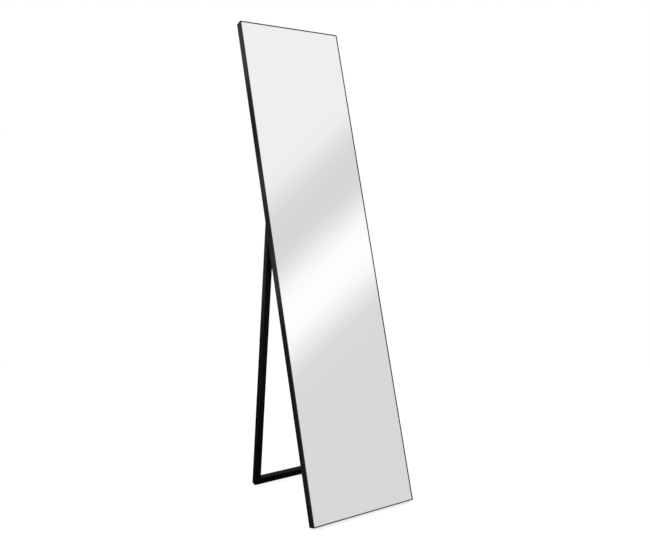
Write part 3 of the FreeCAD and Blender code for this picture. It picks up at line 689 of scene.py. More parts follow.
def acrylic_foam(colours):
    """Closed-cell foam tape: off-white, pitted by cells of 0.3 mm that show where it is cut."""
    return moulded_skin("acrylic_foam", (colours.foam, colours.foam_cell), 1.8, (0.7, 0.9), 0.05)


def woven_film(colours, turn):
    """Polyethylene film on a woven backing: slightly glossy, with strands 3 mm apart."""
    material, tree, shader = start_material("woven_film", {"IOR": 1.5})
    weave = woven_lines(tree, surface_place(tree, turn), 3.0, "MAXIMUM")
    lay_finish(tree, shader, weave, (colours.film, colours.film_weave), weave, (0.3, 0.45), 0.03)
    return material


# Pieces of the mirror --------------------------------------------------------

def frame_section(panel):
    """Section of the frame extrusion, X in from the outer face and Y from front to back."""
    board_back = panel.lip_thickness + panel.glass + panel.backing + panel.board
    rib_back, slot_back = board_back + panel.rib, panel.depth - panel.rib
    inside, face = panel.wall + panel.slot, panel.wall + panel.slot + panel.slot_lip
    corners = [(0, 0), (panel.lip, 0), (panel.lip, panel.lip_thickness),
               (panel.wall, panel.lip_thickness), (panel.wall, board_back), (face, board_back),
               (face, rib_back + panel.slot_reach), (inside, rib_back + panel.slot_reach),
               (inside, rib_back), (panel.wall, rib_back), (panel.wall, slot_back),
               (inside, slot_back), (inside, slot_back - panel.slot_reach),
               (face, slot_back - panel.slot_reach), (face, panel.depth), (0, panel.depth)]
    radii = [panel.outer_round if across == 0 else panel.inner_round for across, _ in corners]
    return rounded_outline(corners, radii)


def mitred_member(section, run, edge):
    """Parts (in, depth, along) of the rings of a section carried along a run.

    Both ends are cut at 45 degrees: a point at X in the section starts X along the run and
    ends X before its end. The end rings are moved in by the broken edge, so that a fine
    line shows at each mitre.
    """
    insets, starts = np.array([edge, 0, 0]), np.array([0, edge, 2 * edge])
    rings = np.stack([inset(section, distance) for distance in insets])
    low = rings[..., 0] + starts[:, None]
    rings = np.concatenate([rings, rings[::-1]])
    return *np.moveaxis(rings, -1, 0), np.concatenate([low, run - low[::-1]])


def frame_members(panel):
    """Rings of the four members in the panel frame."""
    section, edge = frame_section(panel), panel.mitre_break
    inward, depth, along = mitred_member(section, panel.height, edge)
    left = np.stack([inward - HALF_WIDTH, depth, along], axis=-1)
    inward, depth, along = mitred_member(section, 2 * HALF_WIDTH, edge)
    return {"frame_side_left": left, "frame_side_right": mirrored(left, "right"),
            "frame_bottom": np.stack([along - HALF_WIDTH, depth, inward], axis=-1),
            "frame_top": np.stack([along - HALF_WIDTH, depth, panel.height - inward], axis=-1)}


def glass_pane(panel):
    """Rings of the mirror glass with its ground edges."""
    edge = panel.wall + panel.glass_gap
    outline = rounded_outline(rectangle(edge - HALF_WIDTH, edge, HALF_WIDTH - edge,
                                        panel.height - edge), 2 * panel.glass_arris)
    return along_depth(slab(outline, panel.lip_thickness, panel.lip_thickness + panel.glass,
                            panel.glass_arris))


def wedge_foot(low, high, floor, top, corner):
    """Rings of a rubber foot: a rounded outline in X and Y that runs from the floor up.

    The lowest rings rise from the floor's height at their own depth and are drawn in by a
    quarter round of a quarter of the corner's radius. The last ring is the flat top.
    """
    outline = rounded_outline(rectangle(*low, *high), corner)
    insets, rises = edge_levels(0, 1, corner / 4)
    half = len(insets) // 2
    rings = np.stack([inset(outline, distance) for distance in (*insets[:half], 0)])
    height = floor(rings[..., 1]) + np.append(rises[:half], 0)[:, None]
    height[-1] = top
    return level_rings(rings, height)


def grub_screw(screws, around=48):
    """Rings of a cup-point screw from its point, level 0, to its hexagon socket.

    The cup is half the screw wide and its chamfer 0.12 of its diameter high. The socket's
    rings have radius = half the key width / cos(a), a being the angle to the nearest
    flat's middle. The last ring sinks into the socket like the drill's point.
    """
    radius, run = screws.grub / 2, screws.grub_length
    chamfer = 0.12 * screws.grub
    to_flat = np.mod(np.arange(around) * math.tau / around, math.pi / 3) - math.pi / 6
    hexagon = circle(1, around) * (screws.grub_key / 2 / np.cos(to_flat))[:, None]
    radii = radius * np.array([0.45, 0.5, 0.88, 1, 1, 0.92, 0.72])
    outlines = np.concatenate([radii[:, None, None] * circle(1, around),
                               np.stack([1.05 * hexagon, hexagon, hexagon, 0.2 * hexagon])])
    socket = run - screws.grub_socket
    return level_rings(outlines, [0.3 * chamfer, 0, 0, chamfer, run - chamfer, run, run, run,
                                  run - BROKEN_EDGE / 2, socket, socket - RIM])


def domed_rivet(hinge, grip):
    """Rings of a blind rivet: set tail below level 0, shank, and a domed head on the grip.

    The tail is a disc whose lower edge is drawn in by 0.15 of its radius. The head's dome
    is cut by the hollow that the mandrel leaves, which starts at 1.2 of the hollow's
    radius and ends on the mandrel's broken, slightly raised face.
    """
    shank, head, tail = hinge.rivet / 2, hinge.rivet_head / 2, hinge.rivet_tail / 2
    below, hollow = hinge.rivet_tail_height, hinge.rivet_mandrel / 2
    dome = domed(head, hinge.rivet_head_height - RIM, grip + RIM, 1.2 * hollow, steps=7)
    profile = [(0.3 * tail, -below), (0.85 * tail, -below), (tail, -0.6 * below), (tail, 0),
               (shank, 0), (shank, grip), (head - BROKEN_EDGE, grip)]
    well = [(hollow, dome[-1, 1] - BROKEN_EDGE / 2), (0.92 * hollow, grip + 1.75 * RIM),
            (0.6 * hollow, grip + 1.5 * RIM), (0.1 * hollow, grip + 2 * RIM)]
    return turned(np.concatenate([profile, dome, well]))


def bent_sheet(station, ear_x, tip_depth, seat_depth, hinge, low, high):
    """Rings of a pressed strip that runs along an ear, round a bend and along its seat.

    Stations are distances from the ear's tip along the middle of the steel. The middle
    goes straight forward along the ear, turns a quarter circle and then runs along X.
    Low and high give the strip's edges at each station.
    """
    half = hinge.steel / 2
    middle = hinge.bend + half
    straight = tip_depth - seat_depth - middle
    turn = np.clip((station - straight) / middle, 0, RIGHT_ANGLE)
    beyond = np.maximum(station - straight - middle * RIGHT_ANGLE, 0)
    x = ear_x + middle * (1 - np.cos(turn)) + beyond
    y = tip_depth - np.minimum(station, straight) - middle * np.sin(turn)
    across = np.stack([np.cos(turn), np.sin(turn)], axis=-1)
    section = rounded_outline(square(half), hinge.burr)
    edge = np.where(section[:, 1] > 0, high[:, None] - half, low[:, None] + half) + section[:, 1]
    flat = np.stack([x, y], axis=-1)[:, None] + across[:, None] * section[None, :, :1]
    return level_rings(flat, edge)


def eared_strip(hinge, ear_x, pivot_depth, seat, end_x, below, above, corner=0.0):
    """Rings of a pressed strip from its ear's rounded tip to the end of its seat.

    The half height of the ear's tip is the chord of its circle, sqrt(r^2 - (r - s)^2) at a
    distance s from the tip. Past the bend the strip widens smoothly, 3 w^2 - 2 w^3, to its
    reach below and above the hinge line, and its end falls off by a circle's arc.
    """
    tip, middle = pivot_depth + hinge.ear, hinge.bend + hinge.steel / 2
    straight = tip - seat - middle
    bend_end = straight + middle * RIGHT_ANGLE
    last = bend_end + end_x - ear_x - middle
    # Stations lie closer where the outline or the steel curves.
    rounding = hinge.ear * (1 - np.cos(np.linspace(0.12, RIGHT_ANGLE, 14)))
    bend = np.linspace(straight, bend_end, 9)[:-1]
    narrow = bend_end + np.linspace(0, hinge.notch, 9)
    fade = last - corner * (1 - np.sin(np.linspace(0, RIGHT_ANGLE, 8)))
    end = fade if corner else [narrow[-1] + 1 * MM, last]
    station = np.concatenate([rounding, [straight - 1 * MM], bend, narrow, end])
    from_middle = hinge.ear - np.minimum(station, hinge.ear)
    tip_half = np.sqrt(np.maximum(hinge.ear ** 2 - from_middle ** 2, hinge.burr ** 2))
    widen = np.clip((station - bend_end) / hinge.notch, 0, 1)
    widen = widen * widen * (3 - 2 * widen)
    fall = corner - np.sqrt(corner ** 2 - np.clip(station - last + corner, 0, corner) ** 2)
    low = hinge.height - tip_half - widen * (below - hinge.ear) + fall
    high = hinge.height + tip_half + widen * (above - hinge.ear) - fall
    return bent_sheet(station, ear_x, tip, seat, hinge, low, high)


def hinge_pin(hinge, start, end):
    """Rings of a pin from its peened end, past start, to its domed head beyond end."""
    shank, head = hinge.pin / 2, hinge.pin_head / 2
    rim = 0.25 * hinge.pin_head_height
    peened = domed(1.2 * shank, hinge.peen, 0)[::-1] * (1, -1) + (0, start)
    dome = domed(head, hinge.pin_head_height - rim, end + rim)
    rest = [(shank, start), (shank, end), (head - RIM, end), (head, end + RIM)]
    return turned(np.concatenate([peened, rest, dome]))


def ring(inner, outer, low, high, edge):
    """Looped rings of a washer or bush with rounded edges, its axis along X."""
    return along_width(turned(closed(rounded_outline(rectangle(inner, low, outer, high), edge,
                                                     steps=3))))


# Pieces of the stand ---------------------------------------------------------

def tube_outlines(stand):
    """Outer and inner outline of the tube, round its own middle."""
    half = stand.tube / 2
    return (rounded_outline(square(half), stand.tube_round),
            rounded_outline(square(half - stand.wall), stand.bore_round))


def tube_rings(stand, low, high):
    """Looped rings of a length of tube: up its outside and down its bore.

    Low and high give where the tube starts and ends at a point's place across it.
    """
    outer, bore = tube_outlines(stand)
    edge = stand.mitre_break
    rings = np.stack([inset(outer, distance) for distance in (edge, 0, 0)])
    steps = np.array([0, edge, 2 * edge])[:, None]
    starts, ends = low(rings[..., 0]) + steps, high(rings[..., 0]) - steps
    levels = np.concatenate([starts, ends[::-1], [high(bore[:, 0]), low(bore[:, 0])]])
    return closed(level_rings(np.concatenate([rings, rings[::-1], [bore, bore]]), levels))


def leg_rings(stand, middle, foot, top):
    """Rings of the left leg: its foot rises across the tube at 45 degrees."""
    half = stand.tube / 2
    return tube_rings(stand, lambda x: foot + half + x, lambda x: top + 0 * x) + (middle, 0, 0)


def rail_rings(stand, half_run, foot):
    """Rings of the bottom rail: both ends draw in with height at 45 degrees.

    The tube is made upright and laid along X, so its own X becomes height.
    """
    half = stand.tube / 2
    rings = tube_rings(stand, lambda up: up + half - half_run, lambda up: half_run - half - up)
    return rings[..., [2, 1, 0]] + (0, 0, foot + half)


def tongue_rings(hinge, stand, low, high):
    """Looped rings of the cast tongue: its outline, then back through the bore of its bush.

    The outline is a strip with the heel's flat, which lies against the crossbar at full
    opening, and a rounded back. The bore's points lie on the same rays as the outline's.
    """
    half = stand.tube / 2
    stop = half + hinge.folded_gap - stand.stop_gap
    cos, sin = math.cos(stand.opening), math.sin(stand.opening)
    # The tongue goes 1 mm into the collar below it.
    base = -(hinge.ear + stand.collar_gap) - 1 * MM
    corners = [(-half, base), (half, base), (half, stand.heel_reach),
               (-(stop - stand.heel_reach * sin) / cos, stand.heel_reach),
               (-half, (stop - half * cos) / sin)]
    rounds = [stand.casting_round * 1.5] * 2 + [stand.heel_round, 1 * MM, 2 * MM]
    outline = rounded_outline(corners, rounds, steps=10)
    bore = hinge.pin / 2 + 2 * hinge.running_gap + hinge.bush_wall
    hole = bore * outline / np.linalg.norm(outline, axis=1, keepdims=True)
    outer = slab(outline, low, high, stand.casting_round)
    return closed(np.concatenate([outer, level_rings([hole, hole], [high, low])]))


def collar_and_spigot(stand, middle, top):
    """Rings of the fitting below its tongue: the collar on the tube's end and the spigot in it."""
    outer, bore = tube_outlines(stand)
    collar = slab(outer, top, top + stand.collar, stand.mitre_break * 2)
    # The spigot goes half a millimetre into the collar above it.
    spigot = slab(inset(bore, stand.spigot_gap), top - stand.spigot, top + 0.5 * MM, RIM)
    return [rings + (middle, 0, 0) for rings in (collar, spigot)]


def cross_head(screws, around=96):
    """Rings of a pan head screw from its shank's tip, level 0 being under the head.

    The head's side is upright to 0.35 of its height, a quarter round takes it to 0.9, and
    the top is a flat dome, less a cross: its depth falls with the distance past an arm's
    side or end, whichever is nearer, and the deeper of the two arms counts.
    """
    head, shank, height = screws.head / 2, screws.shank / 2, screws.head_height
    rim = [(0.6 * shank, -screws.shank_length), (shank, -screws.shank_length + 1 * MM), (shank, 0),
           (head - BROKEN_EDGE, 0), (head, BROKEN_EDGE), (head, 0.35 * height)]
    turn = np.linspace(0, RIGHT_ANGLE, 6)[1:]
    shoulder = 0.3 * head
    top = head - shoulder
    bend = np.stack([top + shoulder * np.cos(turn), height * (0.35 + 0.55 * np.sin(turn))], axis=-1)
    radii = np.linspace(top, POLE, 34)[1:]
    crown = np.stack([radii, height * (1 - 0.1 * (radii / top) ** 2)], axis=-1)
    rings = turned(np.concatenate([rim, bend, crown]), around)
    x, y = np.abs(rings[..., 0]), np.abs(rings[..., 1])
    half, slope = screws.cross_width / 2, screws.cross_slope
    arms = [np.clip((half - wide) / slope, 0, 1)
            * np.clip((screws.cross_reach - far) / (2 * slope), 0, 1)
            for wide, far in ((x, y), (y, x))]
    on_crown = np.arange(len(rings)) >= len(rim) + len(bend)
    rings[..., 2] -= on_crown[:, None] * screws.cross_depth * np.maximum(*arms)
    return rings


# Building --------------------------------------------------------------------

def sizes():
    """The three size groups, and the places on the left side that follow from them."""
    scene = bpy.context.scene
    panel, hinge, stand = scene.mirror_panel, scene.mirror_hinge, scene.mirror_stand
    at = types.SimpleNamespace()
    at.board_front = panel.lip_thickness + panel.glass + panel.backing
    at.board_back = at.board_front + panel.board
    at.crossbar_back = at.board_back + hinge.steel
    at.cheek_back = at.crossbar_back + hinge.steel
    at.pivot_depth = at.crossbar_back + hinge.folded_gap + stand.tube / 2
    at.key_depth = (at.board_back + panel.depth) / 2
    at.leg_near = panel.wall + panel.slot + panel.slot_lip + stand.side_gap - HALF_WIDTH
    at.leg_middle = at.leg_near + stand.tube / 2
    at.ear_near = at.leg_near + hinge.ear_gap
    at.cheek_far = at.leg_near + stand.tube - hinge.ear_gap
    at.cheek_near = at.cheek_far - hinge.steel
    spacer = hinge.washer_thickness + hinge.side_play
    at.tongue_near = at.ear_near + hinge.steel + spacer
    at.tongue_far = at.cheek_near - spacer
    stand_lean = stand.opening - panel.lean
    edge_drop = stand.tube / 2 * abs(math.sin(stand_lean))
    at.foot = -(HINGE_LINE[2] - panel.rubber_lift - edge_drop) / math.cos(stand_lean)
    at.tube_top = -(hinge.ear + stand.collar_gap) - stand.collar
    return panel, hinge, stand, at


class MIRROR_OT_frame(bpy.types.Operator):
    """Build the four mitred frame members"""
    bl_idname = "mirror.frame"
    bl_label = "Frame"

    def execute(self, context):
        panel, colours = context.scene.mirror_panel, context.scene.mirror_finishes
        # Lines along a member: the pattern is pulled 60 times longer that way.
        upright = black_anodised_aluminium("black_anodised_upright", colours, panel.lean,
                                           (1, 1, 1 / 60))
        crosswise = black_anodised_aluminium("black_anodised_crosswise", colours, panel.lean,
                                             (1 / 60, 1, 1))
        for name, rings in frame_members(panel).items():
            make_piece(name + "_extrusion", [rings], "mirror", name,
                       upright if "side" in name else crosswise)
        return {"FINISHED"}


class MIRROR_OT_glass(bpy.types.Operator):
    """Build the mirror glass with its ground edges"""
    bl_idname = "mirror.glass"
    bl_label = "Glass"

    def execute(self, context):
        make_piece("mirror_glass_pane", [glass_pane(context.scene.mirror_panel)], "mirror",
                   "mirror_glass",
                   silvered_float_glass(context.scene.mirror_finishes))
        return {"FINISHED"}


class MIRROR_OT_backing(bpy.types.Operator):
    """Finish the splinter film, the foam tape and the back board"""
    bl_idname = "mirror.backing"
    bl_label = "Backing"

    def execute(self, context):
        lean, colours = context.scene.mirror_panel.lean, context.scene.mirror_finishes
        finish_node("splinter_film", woven_film(colours, lean))
        finish_node("mounting_tape", acrylic_foam(colours))
        finish_node("back_board", tempered_hardboard(colours, lean))
        return {"FINISHED"}


class MIRROR_OT_corner_keys(bpy.types.Operator):
    """Finish the corner keys and build their grub screws"""
    bl_idname = "mirror.corner_keys"
    bl_label = "Corner keys"

    def execute(self, context):
        panel, _, _, at = sizes()
        screws = context.scene.mirror_screws
        zinc = shared(bright_zinc_plate, context.scene.mirror_finishes)
        for height in ("bottom", "top"):
            for side in SIDES:
                finish_node("corner_key_%s_%s" % (height, side), zinc)
        screw, skins = grub_screw(screws), []
        for from_corner in (screws.grub_first, screws.grub_first + screws.grub_pitch):
            upright = screw + (from_corner - HALF_WIDTH, at.key_depth, panel.wall)
            level = along_width(screw) + (panel.wall - HALF_WIDTH, at.key_depth, from_corner)
            for rings in (upright, level):
                skins += both_sides(rings, rings * (1, 1, -1) + (0, 0, panel.height))
        make_piece("corner_grub_screws", skins, "mirror", "corner_key_screws",
                   zinc)
        return {"FINISHED"}


class MIRROR_OT_hinges(bpy.types.Operator):
    """Build the crossbar, the hinge cheeks, their rivets, pins and washers"""
    bl_idname = "mirror.hinges"
    bl_label = "Hinges"

    def execute(self, context):
        panel, hinge, _, at = sizes()
        colours = context.scene.mirror_finishes
        steel, half = black_electrocoat(colours, panel.lean), hinge.steel / 2
        left = eared_strip(hinge, at.ear_near + half, at.pivot_depth, at.board_back + half, 0,
                           hinge.below, hinge.above)
        crossbar = np.concatenate([left, mirrored(left, "right")[-2::-1]])
        cheek = eared_strip(hinge, at.cheek_near + half, at.pivot_depth, at.crossbar_back + half,
                            at.cheek_far + hinge.flange, hinge.ear, hinge.flange_above,
                            hinge.flange_round)
        pin = along_width(hinge_pin(hinge, at.ear_near, at.cheek_far))
        pin += (0, at.pivot_depth, hinge.height)
        make_piece("hinge_crossbar_strip", [crossbar], "mirror", "hinge_crossbar",
                   steel)
        make_pairs(("hinge_cheek_plate", [cheek], "mirror", "hinge_cheek", "hinge_steel", steel),
                   ("hinge_pin_domed", [pin], "mirror", "hinge_pin", "zinc_plated_steel",
                    shared(bright_zinc_plate, colours)))
        self.build_rivets(colours, hinge, at)
        self.build_washers(colours, hinge, at)
        return {"FINISHED"}

    def build_rivets(self, colours, hinge, at):
        """Four rivets through the cheeks and four through the crossbar alone."""
        aluminium = drawn_aluminium(colours)
        low = hinge.height + hinge.cheek_rivet_low
        groups = {
            "cheek_rivets": (at.cheek_back, at.cheek_far + hinge.rivet_from_cheek,
                             (low, low + hinge.cheek_rivet_pitch)),
            "crossbar_rivets": (at.crossbar_back, -hinge.rivet_column,
                                (hinge.height - hinge.below + hinge.rivet_edge,
                                 hinge.height + hinge.above - hinge.rivet_edge)),
        }
        for name, (seat, x, heights) in groups.items():
            rivet = along_depth(domed_rivet(hinge, seat - at.board_front))
            skins = both_sides(*[rivet + (x, at.board_front, z) for z in heights])
            make_piece(name + "_domed", skins, "mirror", name, aluminium)

    def build_washers(self, colours, hinge, at):
        """A thin washer on each side of both tongues."""
        hole, thickness = hinge.pin / 2 + 2 * hinge.running_gap, hinge.washer_thickness
        washers = [ring(hole, hinge.washer / 2, near, near + thickness, hinge.washer_round)
                   + (0, at.pivot_depth, hinge.height)
                   for near in (at.ear_near + hinge.steel, at.cheek_near - thickness)]
        make_piece("hinge_washers_acetal", both_sides(*washers), "mirror", "hinge_washers",
                   shared(natural_acetal, colours))


class MIRROR_OT_stand_tubes(bpy.types.Operator):
    """Build the stand's two legs and its bottom rail"""
    bl_idname = "mirror.stand_tubes"
    bl_label = "Stand tubes"

    def execute(self, context):
        panel, _, stand, at = sizes()
        powder = black_powder_coat(context.scene.mirror_finishes, panel.lean - stand.opening)
        make_pairs(("stand_leg_tube", [leg_rings(stand, at.leg_middle, at.foot, at.tube_top)],
                    "stand", "stand_leg", "stand_tube", powder))
        make_piece("stand_rail_tube", [rail_rings(stand, -at.leg_near, at.foot)], "stand",
                   "stand_bottom_rail", powder)
        return {"FINISHED"}


class MIRROR_OT_stand_ends(bpy.types.Operator):
    """Build the cast end fittings, bushes and screws, and finish the corner inserts"""
    bl_idname = "mirror.stand_ends"
    bl_label = "Stand ends"

    def execute(self, context):
        _, hinge, stand, at = sizes()
        colours = context.scene.mirror_finishes
        tongue = along_width(tongue_rings(hinge, stand, at.tongue_near, at.tongue_far))
        fitting = [tongue, *collar_and_spigot(stand, at.leg_middle, at.tube_top)]
        bore = hinge.pin / 2 + hinge.running_gap
        bush = ring(bore, bore + hinge.bush_wall, at.tongue_near, at.tongue_far, hinge.bush_round)
        make_pairs(("leg_end_casting", fitting, "stand", "leg_end_fitting", "end_fitting_cast",
                    painted_die_casting(colours)),
                   ("hinge_bush_acetal", [bush], "stand", "hinge_bush", "hinge_nylon",
                    shared(natural_acetal, colours)))
        nylon, zinc = glass_filled_nylon(colours), shared(bright_zinc_plate, colours)
        for side in SIDES:
            finish_node("stand_corner_insert_" + side, nylon)
        screw = along_depth(cross_head(context.scene.mirror_screws)) + (0, stand.tube / 2, 0)
        corners = [(at.leg_middle, at.foot + stand.screw_inset),
                   (at.leg_near + stand.screw_inset, at.foot + stand.tube / 2)]
        ends = [(at.leg_middle, at.tube_top - stand.spigot_screw)]
        for name, centres in (("stand_corner_screws", corners), ("leg_end_screws", ends)):
            skins = both_sides(*[screw + (x, 0, z) for x, z in centres])
            make_piece(name + "_pan_head", skins, "stand", name, zinc)
        return {"FINISHED"}


class MIRROR_OT_feet(bpy.types.Operator):
    """Build the rubber feet under the frame and under the stand"""
    bl_idname = "mirror.feet"
    bl_label = "Rubber feet"

    def execute(self, context):
        panel, _, stand, at = sizes()
        rubber = vulcanised_rubber(context.scene.mirror_finishes)
        stand_lean = stand.opening - panel.lean

        def under_panel(depth):
            drop = panel.rubber_lift + (panel.depth - depth) * math.sin(panel.lean)
            return -drop / math.cos(panel.lean)

        def under_stand(depth):
            return -(HINGE_LINE[2] + depth * math.sin(stand_lean)) / math.cos(stand_lean)

        near, back = panel.foot_inset - HALF_WIDTH, panel.depth - panel.foot_edge
        foot = wedge_foot((near, back - panel.foot_width), (near + panel.foot_length, back),
                          under_panel, 0, panel.foot_round)
        near, reach = at.leg_near + stand.foot_inset, stand.tube / 2 - stand.foot_edge
        stand_foot = wedge_foot((near, -reach), (near + stand.foot_length, reach), under_stand,
                                at.foot, panel.foot_round)
        make_pairs(("mirror_foot_pad", [foot], "mirror", "mirror_foot", "foot_rubber", rubber),
                   ("stand_foot_pad", [stand_foot], "stand", "stand_foot", "foot_rubber", rubber))
        return {"FINISHED"}


# The studio ------------------------------------------------------------------

# Brightness of the studio in front, as the glass shows it, where a ray's reading is its
# direction along the slant of the lights: grey wall, strip light, gap, pale card.
SLANT = (-0.584, 0.084, 0.807)
FRONT_MARKS = ((-0.36, 0.718), (-0.165, 0.735), (-0.085, 1.045), (0.004, 0.706), (0.09, 0.913),
               (0.16, 0.913))
# Brightness of the dark room behind, by the height of a ray: a faint light, three soft
# lights and then the ceiling.
BACK_MARKS = ((-0.5, 0.0), (-0.3, 0.02), (-0.24, 0.2), (-0.18, 0.16), (-0.119, 0.42),
              (-0.06, 0.04), (-0.02, 0.0), (0.018, 0.42), (0.06, 0.12), (0.14, 0.0),
              (0.192, 0.52), (0.22, 0.26), (0.5, 0.12))
# The room behind takes over from the studio in front between these depths of a ray.
BEHIND_FROM, BEHIND_TO = -0.1, 0.4
LAMPS_AIM = np.array((0, 0, 0.7))
WHITE = (1, 1, 1, 1)


def brightness_along(tree, reading, marks):
    """Smooth curve of brightness through the marks of a reading."""
    low, high = marks[0][0], marks[-1][0]
    across = add_node(tree, "ShaderNodeMapRange",
                      {"Value": reading, "From Min": low, "From Max": high})
    brightness = add_node(tree, "ShaderNodeFloatCurve", {"Value": across})
    mapping = brightness.node.mapping
    mapping.use_clip = False
    points = mapping.curves[0].points
    points[0].location, points[1].location = (0, marks[0][1]), (1, marks[-1][1])
    for place, amount in marks[1:-1]:
        points.new((place - low) / (high - low), amount)
    for point in points:
        point.handle_type = "AUTO_CLAMPED"
    mapping.update()
    return brightness


def ray_kinds(tree):
    """One for a camera ray, and one for a glossy or transmission ray, each zero for the others."""
    camera = add_node(tree, "ShaderNodeLightPath", output="Is Camera Ray")
    path = camera.node.outputs
    glossy = add_node(tree, "ShaderNodeMath", {0: path["Is Glossy Ray"],
                                               1: path["Is Transmission Ray"]},
                      operation="MAXIMUM")
    return camera, glossy


def light_world(studio):
    """White for the camera, an even fill for the lighting, and the studio for reflections."""
    world = bpy.data.worlds.new("studio_surroundings")
    bpy.context.scene.world = world
    world.use_nodes = True
    tree = world.node_tree
    direction = add_node(tree, "ShaderNodeTexCoord", output="Generated")
    axes = add_node(tree, "ShaderNodeSeparateXYZ", {0: direction}).node.outputs
    slanted = add_node(tree, "ShaderNodeVectorMath", {0: direction, 1: SLANT}, output="Value",
                       operation="DOT_PRODUCT")
    front = brightness_along(tree, slanted, FRONT_MARKS)
    back = brightness_along(tree, axes["Z"], BACK_MARKS)
    behind = add_node(tree, "ShaderNodeMapRange",
                      {"Value": axes["Y"], "From Min": BEHIND_FROM, "From Max": BEHIND_TO},
                      interpolation_type="SMOOTHSTEP")
    room = add_node(tree, "ShaderNodeMix", {0: behind, 2: front, 3: back})
    camera, glossy = ray_kinds(tree)
    lit = add_node(tree, "ShaderNodeMix", {0: glossy, 2: studio.fill, 3: room})
    shown = add_node(tree, "ShaderNodeMix", {0: camera, 2: lit, 3: 1.0})
    set_inputs(tree.nodes["Background"], {"Color": WHITE, "Strength": shown})


def pale_floor(studio):
    """Painted floor: pale and matt, seen mostly as plain white but darker where shaded."""
    material, tree, shader = start_material("pale_floor_paint",
                                            {"Roughness": 0.9, "Specular IOR Level": 0.0})
    specks = wander(tree, surface_place(tree), 15.0)
    paint = add_node(tree, "ShaderNodeMix", {0: specks, 6: studio.floor, 7: studio.floor_speck},
                     output=2, data_type="RGBA")
    set_inputs(shader, {"Base Color": paint})
    white = add_node(tree, "ShaderNodeEmission", {"Color": WHITE, "Strength": studio.floor_glow})
    camera, glossy = ray_kinds(tree)
    seen = add_node(tree, "ShaderNodeMath", {0: glossy, 1: camera}, operation="MAXIMUM")
    part = add_node(tree, "ShaderNodeMath", {0: seen, 1: studio.floor_light}, operation="MULTIPLY")
    both = add_node(tree, "ShaderNodeMixShader", {0: part, 1: shader.outputs[0], 2: white})
    set_inputs(tree.nodes["Material Output"], {"Surface": both})
    return material


def stage_plane(name, outline, level, material):
    """Flat one-faced stage object."""
    mesh = bpy.data.meshes.new(name)
    points = np.column_stack([outline, np.full(len(outline), level)])
    mesh.from_pydata(points.tolist(), [], [list(range(len(outline)))])
    mesh.materials.append(material)
    plane = bpy.data.objects.new(name, mesh)
    bpy.context.scene.collection.objects.link(plane)
    return plane


def black_flag(studio):
    """Black cloth behind the mirror, from its right side to the left, that only reflections see.

    It keeps the black side faces black where they would show the pale floor.
    """
    cloth, _, _ = start_material("black_cotton_cloth", {"Base Color": linear("0A0A0A"),
                                                        "Roughness": 1.0})
    reach = 1.5 * studio.floor_radius
    outline = rectangle(-reach, CAD_BOX[0][1], HALF_WIDTH, reach)
    flag = stage_plane("black_flag", outline, 1 * MM, cloth)
    for ray in ("camera", "diffuse", "transmission", "volume_scatter", "shadow"):
        setattr(flag, "visible_" + ray, False)


def soft_lamp(name, place, width, amount, reflected):
    """Square lamp aimed at the mirror: its power gives this share of full light there.

    The glass shows the lights that the surroundings hold, so the lamps in front of it
    aren't reflected.
    """
    data = bpy.data.lights.new(name, "AREA")
    reach = LAMPS_AIM - np.array(place)
    distance = float(np.linalg.norm(reach))
    data.size = width
    data.energy = amount * (math.pi * distance) ** 2
    lamp = bpy.data.objects.new(name, data)
    lamp.location = place
    lamp.rotation_euler = (math.acos(-reach[2] / distance), 0, math.atan2(-reach[0], reach[1]))
    lamp.visible_glossy = reflected
    bpy.context.scene.collection.objects.link(lamp)


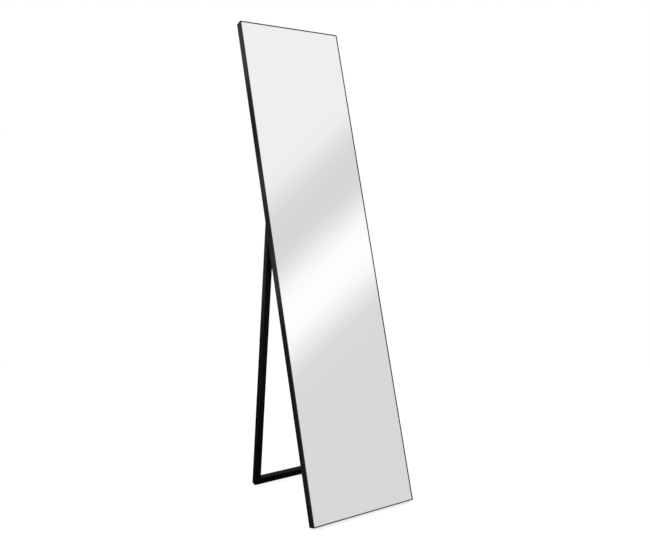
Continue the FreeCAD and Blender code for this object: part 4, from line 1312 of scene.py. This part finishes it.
class MIRROR_OT_studio(bpy.types.Operator):
    """Set the camera, the lights, the floor and the surroundings"""
    bl_idname = "mirror.studio"
    bl_label = "Studio"

    def execute(self, context):
        studio = context.scene.mirror_studio
        light_world(studio)
        stage_plane("studio_floor", circle(studio.floor_radius, 96), 0.0, pale_floor(studio))
        black_flag(studio)
        soft_lamp("key_lamp", (-2.2, -2.2, 2.6), 1.6, studio.lamp, False)
        soft_lamp("side_lamp", (2.8, -0.6, 1.9), 1.8, studio.lamp, False)
        soft_lamp("rear_lamp", (0, 2.7, 2.9), 1.6, studio.lamp, True)
        data = bpy.data.cameras.new("photo_camera")
        data.sensor_fit, data.sensor_width = "HORIZONTAL", 36.0
        data.lens = studio.lens
        camera = bpy.data.objects.new("photo_camera", data)
        camera.location = studio.camera
        camera.rotation_euler = (RIGHT_ANGLE - studio.pitch, 0, -studio.yaw)
        context.scene.collection.objects.link(camera)
        context.scene.camera = camera
        context.scene.view_settings.view_transform = "Standard"
        return {"FINISHED"}


# The add-on ------------------------------------------------------------------

OPERATORS = (MIRROR_OT_frame, MIRROR_OT_glass, MIRROR_OT_backing, MIRROR_OT_corner_keys,
             MIRROR_OT_hinges, MIRROR_OT_stand_tubes, MIRROR_OT_stand_ends, MIRROR_OT_feet,
             MIRROR_OT_studio)
GROUPS = {"mirror_panel": MIRROR_PG_panel, "mirror_hinge": MIRROR_PG_hinge,
          "mirror_stand": MIRROR_PG_stand, "mirror_screws": MIRROR_PG_screws,
          "mirror_finishes": MIRROR_PG_finishes, "mirror_studio": MIRROR_PG_studio}


class MIRROR_PT_steps(bpy.types.Panel):
    """Lists the steps that build the mirror"""
    bl_idname = "MIRROR_PT_steps"
    bl_label = "Leaning Floor Mirror"
    bl_space_type = "VIEW_3D"
    bl_region_type = "UI"
    bl_category = "Mirror"

    def draw(self, context):
        for operator in OPERATORS:
            self.layout.operator(operator.bl_idname)
        for name, group in GROUPS.items():
            box = self.layout.box()
            box.label(text=group.__doc__)
            for size in group.__annotations__:
                box.prop(getattr(context.scene, name), size)


CLASSES = (*GROUPS.values(), *OPERATORS, MIRROR_PT_steps)


def register():
    """Register the classes and hang the groups on the scene."""
    for cls in CLASSES:
        bpy.utils.register_class(cls)
    for name, group in GROUPS.items():
        setattr(bpy.types.Scene, name, bpy.props.PointerProperty(type=group))


def unregister():
    """Take the groups and the classes away again."""
    for name in GROUPS:
        delattr(bpy.types.Scene, name)
    for cls in reversed(CLASSES):
        bpy.utils.unregister_class(cls)


def main():
    """Build every piece and the studio."""
    register()
    bpy.ops.mirror.frame()
    bpy.ops.mirror.glass()
    bpy.ops.mirror.backing()
    bpy.ops.mirror.corner_keys()
    bpy.ops.mirror.hinges()
    bpy.ops.mirror.stand_tubes()
    bpy.ops.mirror.stand_ends()
    bpy.ops.mirror.feet()
    bpy.ops.mirror.studio()


if __name__ == "__main__":
    main()
